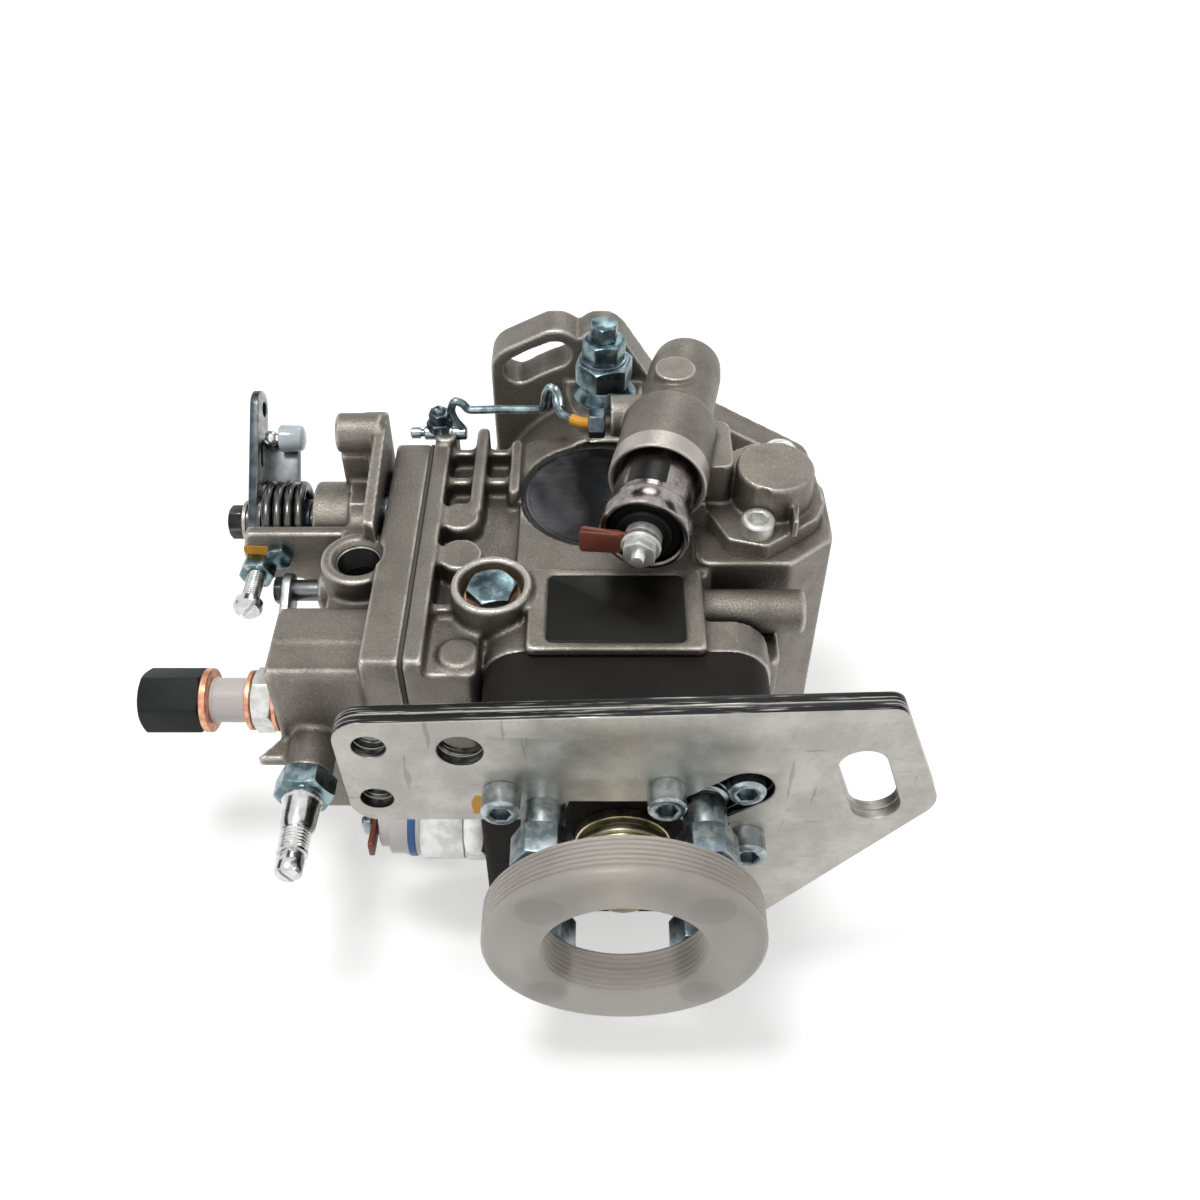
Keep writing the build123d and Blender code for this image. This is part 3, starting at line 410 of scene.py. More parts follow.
def threaded(bm, place, radius, length, pitch, depth=None, steps=28):
    # helical thread on a closed rod
    depth = depth or 0.5 * pitch
    rows = max(4, int(length / pitch * 4))
    loops = []
    for row in range(rows + 1):
        along = length * row / rows
        fade = min(1.0, along / pitch, (length - along) / pitch)
        loop = []
        for i in range(steps):
            phase = (along / pitch - i / steps) % 1.0
            wave = abs(2 * phase - 1)
            reach = radius - depth * (1 - wave * fade)
            angle = 2 * pi * i / steps
            loop.append((reach * cos(angle), reach * sin(angle), along))
        loops.append(loop)
    rings(bm, place, loops)


def slab(bm, place, outline, depth):
    rings(bm, place, [[(x, y, 0) for x, y in outline], [(x, y, depth) for x, y in outline]])


def rounded(points, radii, steps=6):
    # closed outline with its corners turned into arcs
    made = []
    count = len(points)
    for i, (point, radius) in enumerate(zip(points, radii)):
        here, before, after = Vector(point), Vector(points[i - 1]), Vector(points[(i + 1) % count])
        a, b = (before - here).normalized(), (after - here).normalized()
        half = a.angle(b) / 2
        if radius <= 0 or half < 1e-3:
            made.append(tuple(here))
            continue
        reach = radius / tan(half)
        centre = here + (a + b).normalized() * radius / sin(half)
        first, last = here + a * reach - centre, here + b * reach - centre
        sweep = first.angle_signed(last)
        for k in range(steps + 1):
            turned = first.copy()
            turned.rotate(Matrix.Rotation(-sweep * k / steps, 2))
            made.append(tuple(centre + turned))
    return made


def tubeAlong(bm, points, radius, steps=12):
    # round wire along a row of points
    path = [Vector(p) for p in points]
    loops = []
    normal = None
    for i, point in enumerate(path):
        ahead = (path[min(i + 1, len(path) - 1)] - path[max(i - 1, 0)]).normalized()
        if normal is None:
            normal = ahead.orthogonal().normalized()
        normal = (normal - ahead * normal.dot(ahead)).normalized()
        side = ahead.cross(normal)
        loops.append([point + (normal * cos(2 * pi * k / steps) + side * sin(2 * pi * k / steps)) * radius
                      for k in range(steps)])
    rings(bm, Matrix.Identity(4), loops)


def smoothRoute(points, per=8):
    # smooth curve that passes through every point
    made = []
    path = [Vector(p) for p in points]
    for i in range(len(path) - 1):
        p0, p1 = path[max(i - 1, 0)], path[i]
        p2, p3 = path[i + 1], path[min(i + 2, len(path) - 1)]
        for k in range(per):
            t = k / per
            made.append(0.5 * (2 * p1 + (p2 - p0) * t + (2 * p0 - 5 * p1 + 4 * p2 - p3) * t * t
                               + (3 * p1 - p0 - 3 * p2 + p3) * t ** 3))
    made.append(path[-1])
    return made


def addObject(name, data):
    obj = bpy.data.objects.new(name, data)
    bpy.context.scene.collection.objects.link(obj)
    return obj


def metreObject(name, bm):
    # object in metres from a bmesh in millimetres, which is used up
    bm.transform(Matrix.Scale(mm, 4))
    mesh = bpy.data.meshes.new(name)
    bm.to_mesh(mesh)
    bm.free()
    return addObject(name, mesh)


def evaluatedMesh(obj):
    graph = bpy.context.evaluated_depsgraph_get()
    return bpy.data.meshes.new_from_object(obj.evaluated_get(graph))


def settle(obj):
    # the evaluated object's mesh takes the place of its modifiers
    mesh = evaluatedMesh(obj)
    obj.modifiers.clear()
    obj.data = mesh


def softenEdges(obj, width):
    bevel = obj.modifiers.new("edge", "BEVEL")
    bevel.width, bevel.segments, bevel.limit_method = width * mm, 2, "ANGLE"
    bevel.angle_limit = radians(28)
    settle(obj)


def sharpen(mesh, degrees):
    for face in mesh.polygons:
        face.use_smooth = True
    mesh.set_sharp_from_angle(angle=radians(degrees))


def handOver(obj, body, node):
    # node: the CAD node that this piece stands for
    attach(obj, body)
    if node:
        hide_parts(node)


def piece(name, bm, finish, body="pump_body", node=None, edge=0.0, sharp=32):
    # one finished piece, from a bmesh in millimetres
    bmesh.ops.recalc_face_normals(bm, faces=bm.faces)
    obj = metreObject(name, bm)
    obj.data.materials.append(finishes[finish])
    if edge:
        softenEdges(obj, edge)
    sharpen(obj.data, sharp)
    handOver(obj, body, node)
    return obj


def paintFaces(obj, finish, chosen):
    # second finish on the faces that chosen(centre in mm, normal) picks
    obj.data.materials.append(finishes[finish])
    for face in obj.data.polygons:
        if chosen(face.center / mm, face.normal):
            face.material_index = 1


def cutWith(obj, bm, sharp=32, crossing=True):
    # takes the closed shapes in bm away from a finished piece; crossing where its own shapes run through each other
    bmesh.ops.recalc_face_normals(bm, faces=bm.faces)
    tool = metreObject("cutter", bm)
    cut = obj.modifiers.new("cut", "BOOLEAN")
    cut.operation, cut.solver, cut.object, cut.use_self = "DIFFERENCE", "EXACT", tool, crossing
    settle(obj)
    bpy.data.objects.remove(tool)
    sharpen(obj.data, sharp)


def castSkin(name, node, finish, forms, voxel, rounds, keep):
    # cast piece: the node's own form and its added forms under one skin with soft edges and hollows
    bm = bmesh.new()
    bm.from_mesh(frame["nodes"][node].data)
    bm.transform(Matrix.Scale(1 / mm, 4))
    bmesh.ops.remove_doubles(bm, verts=bm.verts, dist=0.002)
    if forms:
        forms(bm)
    obj = metreObject(name, bm)
    skin = obj.modifiers.new("skin", "REMESH")
    skin.mode, skin.voxel_size = "VOXEL", voxel * mm * 1
    soft = obj.modifiers.new("soft", "SMOOTH")
    soft.factor, soft.iterations = 0.5, rounds
    thin = obj.modifiers.new("thin", "DECIMATE")
    thin.ratio = keep
    settle(obj)
    obj.data.materials.clear()
    obj.data.materials.append(finishes[finish])
    for face in obj.data.polygons:
        face.use_smooth = True
    handOver(obj, "pump_body", node)
    print(name, len(obj.data.polygons), "faces")


stageLook = {
    "cameraAt": (-0.00627, -0.349, 0.2844),
    "cameraTilt": 44.5,
    "lens": 36.3,
    "lampsAimAt": (0, -0.07, 0.0),
    "cardsFace": (0, -0.07, 0.03),
    "floorDrop": 0.0004,
    "floorReach": 3,
    "floorFade": (0.3, 1.0),  # metres from the origin over which the floor turns white
    "worldOnObject": 0.27,
    "lamps": {  # name: (place, size, watts)
        "topLamp": ((-0.16, -0.20, 0.80), 0.24, 3.1),
        "rightLamp": ((0.65, -0.35, 0.45), 0.25, 0.3),
        "backLamp": ((0.10, 0.60, 0.55), 0.3, 1.0),
        "frontLamp": ((-0.30, -0.75, 0.25), 0.3, 0.25),
    },
    "cards": {  # dark boards that only reflections show: name: (place, width, height)
        "backCard": ((0.0, 1.3, 1.15), 1.5, 0.9),
        "leftCard": ((-1.3, 0.1, 0.55), 1.1, 0.7),
        "rightCard": ((1.2, 0.35, 0.85), 1.0, 0.6),
    },
}


def makeStage():
    scene = bpy.context.scene
    lens = bpy.data.cameras.new("camera")
    lens.lens, lens.sensor_width, lens.clip_start = stageLook["lens"], 36, 0.01
    camera = addObject("camera", lens)
    camera.location = stageLook["cameraAt"]
    camera.rotation_euler = (radians(stageLook["cameraTilt"]), 0, 0)
    scene.camera = camera
    for name, (place, size, watts) in stageLook["lamps"].items():
        lamp = bpy.data.lights.new(name, "AREA")
        lamp.shape, lamp.size, lamp.energy = "DISK", size, watts
        lampObject = addObject(name, lamp)
        lampObject.location = place
        aim = Vector(stageLook["lampsAimAt"]) - Vector(place)
        lampObject.rotation_euler = aim.to_track_quat("-Z", "Y").to_euler()
    # white where it is seen, a plain level where it lights the pump
    sky = Finish("studio", bpy.data.worlds)
    seen = sky.rays("Is Camera Ray")
    for kind in ("Is Glossy Ray", "Is Transmission Ray"):
        seen = seen.math("MAXIMUM", seen, sky.rays(kind))
    strength = sky.node("ShaderNodeMix", inputs={0: seen, 2: stageLook["worldOnObject"], 3: 1.0})
    background = sky.node("ShaderNodeBackground", inputs={"Color": (1, 1, 1, 1), "Strength": strength})
    sky.node("ShaderNodeOutputWorld", inputs={"Surface": background})
    scene.world = sky.owner
    scene.view_settings.view_transform = "Standard"


def stageBoard(name, corners, material):
    mesh = bpy.data.meshes.new(name)
    mesh.from_pydata(corners, [], [(0, 1, 2, 3)])
    mesh.materials.append(material)
    return addObject(name, mesh)


boardCorners = ((-1, -1), (1, -1), (1, 1), (-1, 1))


def makeCards():
    f = Finish("darkBoard")
    shade = f.node("ShaderNodeBsdfDiffuse", inputs={"Color": (0.02, 0.02, 0.022, 1)})
    f.node("ShaderNodeOutputMaterial", inputs={"Surface": shade})
    for name, (place, width, height) in stageLook["cards"].items():
        aim = Vector(stageLook["cardsFace"]) - Vector(place)
        facing = aim.to_track_quat("Z", "Y").to_matrix().to_4x4()
        facing.translation = place
        corners = [facing @ Vector((x * width / 2, y * height / 2, 0)) for x, y in boardCorners]
        card = stageBoard(name, corners, f.owner)
        card.visible_camera = card.visible_diffuse = card.visible_shadow = card.visible_transmission = False
        card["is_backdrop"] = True


def makeFloor():
    # paper that glows only where a camera or a reflection sees it, so it keeps the shadow
    f = Finish("paleFloor")
    camera = f.rays("Is Camera Ray")
    paper = f.node("ShaderNodeBsdfDiffuse", inputs={"Color": (0.92, 0.92, 0.92, 1)})
    away = f.node("ShaderNodeVectorMath", {"operation": "LENGTH"}, [f.place], output=1)
    fade = away.between(*stageLook["floorFade"]) * camera
    glow = f.node("ShaderNodeEmission", inputs={"Color": f.mix(fade, (0.5, 0.5, 0.5), (1, 1, 1))})
    lit = f.node("ShaderNodeAddShader", inputs=[paper, glow])
    shown = f.node("ShaderNodeMixShader", inputs=[camera + f.rays("Is Glossy Ray"), paper, lit])
    f.node("ShaderNodeOutputMaterial", inputs={"Surface": shown})
    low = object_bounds()[0][2] - stageLook["floorDrop"]
    reach = stageLook["floorReach"]
    stageBoard("floor", [(x * reach, y * reach, low) for x, y in boardCorners], f.owner)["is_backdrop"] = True


housingLook = {
    "lug": ((-61, -39), (-52, -24), 41.6),  # low and high corner of the link lug, and its top
    "webs": (-38.5, -53, -109),
    "coverStep": ((-99, -130.6, 4), (-72.2, -106, 33.6)),  # low and high corner
    "portAt": (-78.0, -89.0, 36.9),
    "portThread": (6.9, 6.0, 8),  # radius at the mouth and below, number of turns
    "linerRadius": 7.66,
    "shaftThread": (7.16, 14.4, 1.5, 0.5),  # radius, length, pitch, depth
    "shaftThreadFrom": 45.8,
}


def housingForms(bm):
    # lug cut down flat at its top, for the rod
    (x0, y0), (x1, y1), top = housingLook["lug"]
    for vert in bm.verts:
        if x0 < vert.co.x < x1 and y0 < vert.co.y < y1:
            vert.co.z = min(vert.co.z, top)
    # triangular webs beside the cross ribs, and a low ledge along the joint
    for ribY in housingLook["webs"]:
        slab(bm, upward(0, ribY, 33), [(-58, 0), (-52, 0), (-57, -9), (-58, -9)], 4.2)
    slab(bm, sideways(-56, 0, 0), [(-37, 30), (-37, 39.2), (-133, 39.2), (-133, 30)], 1.2)


def coverForms(bm):
    # step block beside the joint, over the place of the rear screw
    (x0, y0, z0), (x1, y1, z1) = housingLook["coverStep"]
    slab(bm, upward(0, 0, z0), [(x0, y0), (x1, y0), (x1, y1), (x0, y1)], z1 - z0)


castings = {  # name: (node, finish, added forms, voxel in mm, rounds of smoothing, share of faces kept)
    "housingCasting": ("pump_housing", "cast", housingForms, 0.75, 7, 0.42),
    "coverCasting": ("governor_cover", "cast", coverForms, 0.65, 6, 0.4),
    "upperTimingCasting": ("timing_cover_upper", "cast", None, 0.5, 6, 0.4),
    "lowerTimingCasting": ("timing_cover_lower", "cast", None, 0.6, 5, 0.4),
    "headCasting": ("distributor_head", "castDark", None, 0.8, 8, 0.4),
}


def makeCastings():
    for name, values in castings.items():
        castSkin(name, *values)


def makePortLiner():
    # bright threaded mouth of the fuel port
    mouth, bore, turns = housingLook["portThread"]
    x, y, z = housingLook["portAt"]
    outer = housingLook["linerRadius"]
    profile = [(0, outer), (0, mouth + 0.3), (-1.2, bore + 0.3)]
    for i in range(turns):
        profile += [(-1.7 - i, bore), (-2.2 - i, bore + 0.45)]
    profile += [(-turns - 1.9, bore), (-turns - 1.9, outer)]
    bm = bmesh.new()
    lathe(bm, upward(x, y, z), profile, 64, closed=True)
    liner = piece("portLiner", bm, "zincPale")
    # painted shade: faces deeper than the mouth take the black finish, as the bore goes dark
    paintFaces(liner, "plate", lambda at, out: at.z < z - 1.3)


def makeShaftThread():
    bm = bmesh.new()
    threaded(bm, rearward(0, housingLook["shaftThreadFrom"], 0), *housingLook["shaftThread"])
    piece("shaftThread", bm, "ground", "drive_line")


def copiesTree():
    # puts one piece on every point of a mesh, all turned alike
    tree = bpy.data.node_groups.new("copiesOnPoints", "GeometryNodeTree")
    for label, kind in (("Points", "Geometry"), ("Piece", "Object"), ("Turn", "Rotation"), ("Size", "Float"),
                        ("Finish", "Material")):
        tree.interface.new_socket(label, in_out="INPUT", socket_type="NodeSocket" + kind)
    tree.interface.new_socket("Geometry", in_out="OUTPUT", socket_type="NodeSocketGeometry")
    start, end, info, onPoints, real, paint = (tree.nodes.new(kind) for kind in (
        "NodeGroupInput", "NodeGroupOutput", "GeometryNodeObjectInfo", "GeometryNodeInstanceOnPoints",
        "GeometryNodeRealizeInstances", "GeometryNodeSetMaterial"))
    given, target = start.outputs, onPoints.inputs
    for source, socket in ((given["Points"], target["Points"]), (given["Piece"], info.inputs["Object"]),
                           (info.outputs["Geometry"], target["Instance"]), (given["Turn"], target["Rotation"]),
                           (given["Size"], target["Scale"]), (onPoints.outputs[0], real.inputs[0]),
                           (real.outputs[0], paint.inputs["Geometry"]), (given["Finish"], paint.inputs["Material"]),
                           (paint.outputs[0], end.inputs[0])):
        tree.links.new(source, socket)
    return tree


copiesOnPoints = copiesTree()


def copies(name, template, places, turn, finish, node=None, edge=0.0):
    # template: a bmesh in millimetres about the origin; places in millimetres
    bmesh.ops.recalc_face_normals(template, faces=template.faces)
    source = metreObject(name + "Shape", template)
    if edge:
        softenEdges(source, edge)
    dots = bpy.data.meshes.new(name)
    dots.from_pydata([Vector(p) * mm for p in places], [], [])
    obj = addObject(name, dots)
    spread = obj.modifiers.new("copies", "NODES")
    spread.node_group = copiesOnPoints
    values = {"Piece": source, "Turn": turn, "Size": 1.0, "Finish": finishes[finish]}
    for item in copiesOnPoints.interface.items_tree:
        if item.in_out == "INPUT" and item.name in values:
            spread[item.identifier] = values[item.name]
    settle(obj)
    bpy.data.objects.remove(source)
    sharpen(obj.data, 32)
    handOver(obj, "pump_body", node)


def plateFromOutlines(name, place, outlines, thickness, edge, finish, node, body="pump_body"):
    # flat plate with holes and softly rounded edges; its first outline is the outside
    curve = bpy.data.curves.new(name, "CURVE")
    curve.dimensions, curve.fill_mode = "2D", "BOTH"
    curve.extrude, curve.bevel_depth, curve.bevel_resolution = thickness / 2 - edge, edge, 2
    curve.offset = -edge
    for outline in outlines:
        spline = curve.splines.new("POLY")
        spline.points.add(len(outline) - 1)
        for point, (x, y) in zip(spline.points, outline):
            point.co = (x, y, 0, 1)
        spline.use_cyclic_u = True
    obj = addObject(name, curve)
    bm = bmesh.new()
    bm.from_mesh(evaluatedMesh(obj))
    bpy.data.objects.remove(obj)
    bmesh.ops.remove_doubles(bm, verts=bm.verts, dist=0.001)
    bm.transform(place @ Matrix.Translation((0, 0, thickness / 2)))
    return piece(name, bm, finish, body, node, sharp=40)


def socketScrewShape(length, height, head=5.0, key=5.0, thread=3.0):
    # head along +Z from its seat, shank along -Z
    bm = bmesh.new()
    here = Matrix.Identity(4)
    outer = [circle(radius, along, 6 * hexSteps) for radius, along in (
        (thread + 0.4, 0), (head - 0.15, 0), (head, 0.2), (head, height - 0.8), (head - 0.5, height - 0.15),
        (head - 0.8, height), (key / 2 * 1.24, height))]
    rings(bm, here, outer + [hexLoop(key, along) for along in (height - 0.25, height - 3.2)])
    lathe(bm, here, [(-length, thread - 0.5), (-length + 0.6, thread), (0.1, thread)], 20)
    return bm


screwLook = {
    "headSpots": [(-31.5, -166.7, 28.5), (31.5, -166.7, -28.5), (10.7, -166.7, 30), (32.8, -166.7, 8.8),
                  (31.5, -160.7, 28.5), (-31.5, -160.7, -28.5)],
    "coverX": -71.8,
    "coverSpots": [(-62, 31.6), (-44, -34), (-84, -36), (-124, -34)],  # along Y, along Z
    "timingSpots": [(39.6, -86.2), (49.5, -53.5)],  # along X, along Y
    "timingSeats": {"upperTimingScrews": (46.0, 0), "lowerTimingScrews": (-46.0, 180)},  # along Z, turn in degrees
}


def makeScrews():
    look = screwLook
    copies("headScrews", socketScrewShape(18, 7.0), look["headSpots"], (radians(90), 0, 0), "zincBlue",
           node="socket_screws")
    copies("coverScrews", socketScrewShape(14, 6), [(look["coverX"], y, z) for y, z in look["coverSpots"]],
           (0, radians(-90), 0), "zincBlue", node="casting_screws")
    for name, (z, turn) in look["timingSeats"].items():
        copies(name, socketScrewShape(14, 5), [(x, y, z) for x, y in look["timingSpots"]], (radians(turn), 0, 0),
               "zincPale")


bracketLook = {
    "corners": [(-72.3, 56.0), (66.6, 61.9), (81.9, 23.4), (37.5, -36), (25, -36), (25, -12), (28, 14.3),
                (12, 24.3), (-14, 24.3), (-26, 16.1), (-71.0, 16.1)],
    "rounding": [7.5, 4, 8, 4, 3, 3, 1, 1, 1, 3, 7.5],
    "bores": [(-63.2, 47.0, 4.25), (-63.8, 25.6, 4.25), (-40.8, 45.4, 5.75)],  # x, z, radius
    "slots": [(62.5, 31.0, 30, 12.6, 109), (26.2, 25.2, 27.5, 14, 39)],  # x, z, length, width, turn
    "lightWalls": (50, 75, 14, 48),  # x from, x to, z from, z to of the slot whose walls stay bright
    "sheet": 3.0,
    "rearY": -160.7,
    "edge": 0.45,
}


def discOutline(x, y, radius, steps=40):
    return [(x + across, y + along) for across, along, _ in circle(radius, 0, steps)]


def slotOutline(x, y, length, width, turn, steps=14):
    # straight slot with round ends, length over all
    reach = (length - width) / 2
    along, across = Vector((cos(radians(turn)), sin(radians(turn)))), Vector((-sin(radians(turn)), cos(radians(turn))))
    made = []
    for side in (1, -1):
        for i in range(steps + 1):
            swing = pi * i / steps - pi / 2
            made.append(Vector((x, y)) + along * side * (reach + width / 2 * cos(swing))
                        + across * side * width / 2 * sin(swing))
    return [tuple(p) for p in made]


def makeBracket():
    look = bracketLook
    outlines = [rounded(look["corners"], look["rounding"])]
    outlines += [discOutline(*bore) for bore in look["bores"]] + [slotOutline(*slot) for slot in look["slots"]]
    sheet, rear = look["sheet"], look["rearY"]
    left, right, low, high = look["lightWalls"]

    # walls that take the dark edge finish: the plate's own sheared edges, and painted shade inside the holes; the
    # bright slot's walls are left out as lit
    def shadedWall(at, out):
        return abs(out.y) < 0.5 and not (left < at.x < right and low < at.z < high)

    for name, node, y in (("rearPlate", "bracket_rear_plate", rear),
                          ("frontPlate", "bracket_front_plate", rear - sheet)):
        plate = plateFromOutlines(name, rearward(0, y, 0), outlines, sheet, look["edge"], "zincPlate", node)
        paintFaces(plate, "plateEdge", shadedWall)
    bm = bmesh.new()
    slab(bm, rearward(-38.0, rear - 2 * sheet + 0.1, 23.0),
         [(-1.2, -4.0), (0.8, -3.4), (1.8, 0.2), (1.4, 3.6), (-0.4, 4.1), (-1.7, 1.0)], 0.2)
    slab(bm, rearward(-116.5, -64.7, 18.0),
         rounded([(-4.4, -1.2), (4.6, -2.2), (3.8, 1.6), (-3.9, 2.3)], [1] * 4), 0.3)
    piece("paintMarks", bm, "orange")


outletLook = {
    "spots": [(x, z) for x in (-21.0, 21.0) for z in (-21.0, 21.0)],
    "ringRear": -184.5,
    "ringDepth": 12.2,
    "ringRadius": 37.0,
    "ringBore": 21.5,
    "ridges": 6,
    "ridgeDepth": 0.55,
    "ridgePitch": 1.35,
    "boreRidges": 7,
    "frontRounding": 2.6,
    "pocket": (6.1, 11),  # radius and depth of the recess behind each outlet
}


def makeCapRing():
    look = outletLook
    depth, outer, bore, rear = look["ringDepth"], look["ringRadius"], look["ringBore"], look["ringRear"]
    profile = [(0, bore + 0.8), (0, outer - 1.0), (0.35, outer - 0.5)]
    for i in range(look["ridges"]):
        start = 0.5 + i * look["ridgePitch"]
        profile += [(start, outer - look["ridgeDepth"]), (start + 0.3, outer - 0.05), (start + 1.0, outer - 0.05),
                    (start + 1.25, outer - look["ridgeDepth"])]
    edge = look["frontRounding"]
    profile.append((depth - edge - 0.5, outer))
    profile += [(depth - edge + edge * sin(radians(a)), outer - edge + edge * cos(radians(a)))
                for a in range(0, 91, 18)]
    profile += [(depth, bore + 3.2), (depth - 0.12, bore + 2.9), (depth - 0.12, bore + 1.2), (depth - 0.4, bore + 0.4)]
    for i in reversed(range(look["boreRidges"])):
        start = 1.0 + i * 1.5
        profile += [(start + 1.2, bore + 0.03), (start + 0.9, bore + 0.4), (start + 0.3, bore + 0.4),
                    (start, bore + 0.03)]
    bm = bmesh.new()
    lathe(bm, rearward(0, rear, 0), profile, 128, closed=True)
    ring = piece("capRing", bm, "milky", node="delivery_cap_ring", sharp=30)
    pockets = bmesh.new()
    pocketRadius, pocketDepth = look["pocket"]
    for x, z in look["spots"]:
        lathe(pockets, rearward(x, rear + 1, z), [(0, pocketRadius), (pocketDepth, pocketRadius)], 32)
    cutWith(ring, pockets, sharp=30, crossing=False)


def holderShape():
    # one delivery valve holder along +Z, its zero on the plane y = 0
    bm = bmesh.new()
    here = Matrix.Identity(4)
    lathe(bm, here, [(148, 5.4), (160.7, 5.4), (160.9, 6.5), (162.2, 6.7), (162.4, 6.1), (163.0, 6.1), (163.2, 6.6),
                     (164.0, 6.6), (164.3, 5.4), (165.0, 5.3), (165.4, 5.75), (175.2, 5.75)], 40)
    hexNut(bm, Matrix.Translation((0, 0, 174.8)), 14, 9.4)
    threaded(bm, Matrix.Translation((0, 0, 184)), 6.0, 9.6, 1.5)
    return bm


def makeOutlets():
    makeCapRing()
    copies("deliveryHolders", holderShape(), [(x, 0, z) for x, z in outletLook["spots"]], (radians(90), 0, 0),
           "zincBlue", node="delivery_valve_holders", edge=0.12)
    bm = bmesh.new()
    lathe(bm, rearward(0, 0, 0), [(150, 10.4), (160.9, 10.4), (160.9, 13.2), (163.6, 13.3), (164, 12.9), (164.1, 11.2),
                                  (166, 11.2), (166.1, 13.7), (166.5, 14), (168.1, 14), (168.5, 13.6), (168.6, 12.6),
                                  (170.4, 12.6), (170.6, 13.3), (171, 13.6), (174.4, 13.6), (175.6, 13.0),
                                  (176.2, 11.8), (176.3, 7.2)], 72)
    hexNut(bm, rearward(0, -176.0, 0), 12, 5.5)
    piece("headPlug", bm, "yellowZinc", node="head_plug", edge=0.15)


overflowLook = {
    "y": -116.4,
    "z": 5.0,
    "washers": [(-101.2, 1.5, 9.4), (-108.9, 1.6, 9.0), (-121.5, 2.2, 9.6)],  # x, height, radius
    "hex": (-102.7, 17, 6.2, 18),  # x, size across flats, height, turn
    "cap": (-123.7, 17.2, 18.2, 30),
    "hexStud": (-94.7, 8.2),  # x, length
    "capStud": (-108.9, 15),
    "sleeveX": -110.5,
}


def washerShape(bm, place, radius, bore, height):
    lathe(bm, place, [(0, bore), (0, radius - 0.3), (0.25, radius), (height - 0.25, radius), (height, radius - 0.3),
                      (height, bore)], 48, closed=True)


def makeOverflow():
    look = overflowLook
    y, z = look["y"], look["z"]
    bm = bmesh.new()
    for x, height, radius in look["washers"]:
        washerShape(bm, leftward(x, y, z), radius, 4.02, height)
    plugX, plugY = topLook["plug"]
    washerShape(bm, upward(plugX, plugY, 37.2), 8.4, 6.05, 1.4)
    piece("copperWashers", bm, "copper", node="copper_washers")

    def hexWithStud(name, finish, node, hexagon, stud, edge):
        x, across, height, turn = hexagon
        studX, length = stud
        bm = bmesh.new()
        hexNut(bm, leftward(x, y, z), across, height, turn=radians(turn))
        lathe(bm, leftward(studX, y, z), [(0, 4), (length, 4)], 24)
        piece(name, bm, finish, node=node, edge=edge)

    hexWithStud("overflowHex", "zincPale", "overflow_hex", look["hex"], look["hexStud"], 0.15)
    bm = bmesh.new()
    lathe(bm, leftward(look["sleeveX"], y, z),
          [(0, 4.02), (0, 6.6), (0.3, 6.9), (0.9, 6.9), (1.2, 6.7), (9.8, 6.7), (10.1, 6.9), (10.7, 6.9), (11, 6.6),
           (11, 4.02)], 48, closed=True)
    piece("overflowSleeve", bm, "nylon", node="overflow_sleeve")
    hexWithStud("overflowCap", "blackPlastic", "overflow_cap", look["cap"], look["capStud"], 0.45)


adjusterLook = {
    "fullLoad": (-89.0, 5.0),  # along X, along Z
    "stop": (-117.0, 11.5),
    "fullLoadNut": (-145.0, 15.0, 6.8),  # y, size across flats, height
    "stopNut": (-64.8, 10, 5.5),
    "stopSlotTurn": -40,
    "fullLoadSlotTurn": 30,
}


def makeAdjusters():
    look = adjusterLook
    x, z = look["fullLoad"]
    stopX, stopZ = look["stop"]
    bm = bmesh.new()
    lathe(bm, rearward(x, -114, z),
          [(0, 4), (37.6, 4), (37.7, 5.5), (38.6, 5.8), (39.6, 5.75), (40.2, 5.3), (47.4, 4.9), (48.4, 4.45),
           (49.2, 4.3)], 40)
    threaded(bm, rearward(x, -162.6, z), 4.25, 7.0, 1.0)
    lathe(bm, rearward(x, -169.4, z), [(0, 3.4), (0.2, 4.3), (0.9, 4.3), (1.2, 3.6), (2.4, 3.55), (3.0, 3.85),
                                       (6.4, 3.75), (7.2, 3.3), (7.8, 2.2)], 32)
    threaded(bm, rearward(stopX, -60.7, stopZ), 3.0, 21.6, 1.0)
    lathe(bm, rearward(stopX, -82.0, stopZ), [(0, 4.3), (0.3, 4.6), (2.6, 4.6), (3.5, 3.9), (3.5, 3.0)], 32)
    screws = piece("adjustingScrews", bm, "chrome", node="adjusting_screws")
    slots = bmesh.new()
    for place, turn, wide, long, deep in (
            (rearward(stopX, -83.9, stopZ), look["stopSlotTurn"], 0.6, 9, 4),
            (rearward(x, -176.4, z), look["fullLoadSlotTurn"], 0.5, 5, 3)):
        slab(slots, place @ Matrix.Rotation(radians(turn), 4, "Z"),
             [(-wide, -long), (wide, -long), (wide, long), (-wide, long)], deep)
    cutWith(screws, slots)
    bm = bmesh.new()
    for (nutX, nutZ), (y, across, height), bore in (((x, z), look["fullLoadNut"], 4.02),
                                                    ((stopX, stopZ), look["stopNut"], 3.02)):
        hexNut(bm, rearward(nutX, y, nutZ), across, height, bore=bore)
    hexNut(bm, rearward(-109.4, -64.6, 16.6), 8, 3.4, turn=radians(10))
    piece("lockNuts", bm, "zincTeal", node="lock_nuts", edge=0.12)


leverLook = {
    "shaft": (-46.7, 14.0),  # along Y, along Z
    "tip": (-19.0, 40.0),
    "cap": (-26.0, 33.0),
    "radii": (7.4, 6),  # of the plate round the shaft and the tip
    "plateX": -122,
    "stopShaft": (-74.0, 9.0),
    "stopTip": (-101.0, -2.0),
    "stopRadii": (5.5, 3.6),
    "stopPlateX": -107.5,
    "sheet": 3.0,
    "edge": 0.5,
    "spring": (-117.5, 12.05, 1.72, 17.0, 3.9),  # x, radius, wire radius, length, turns
}


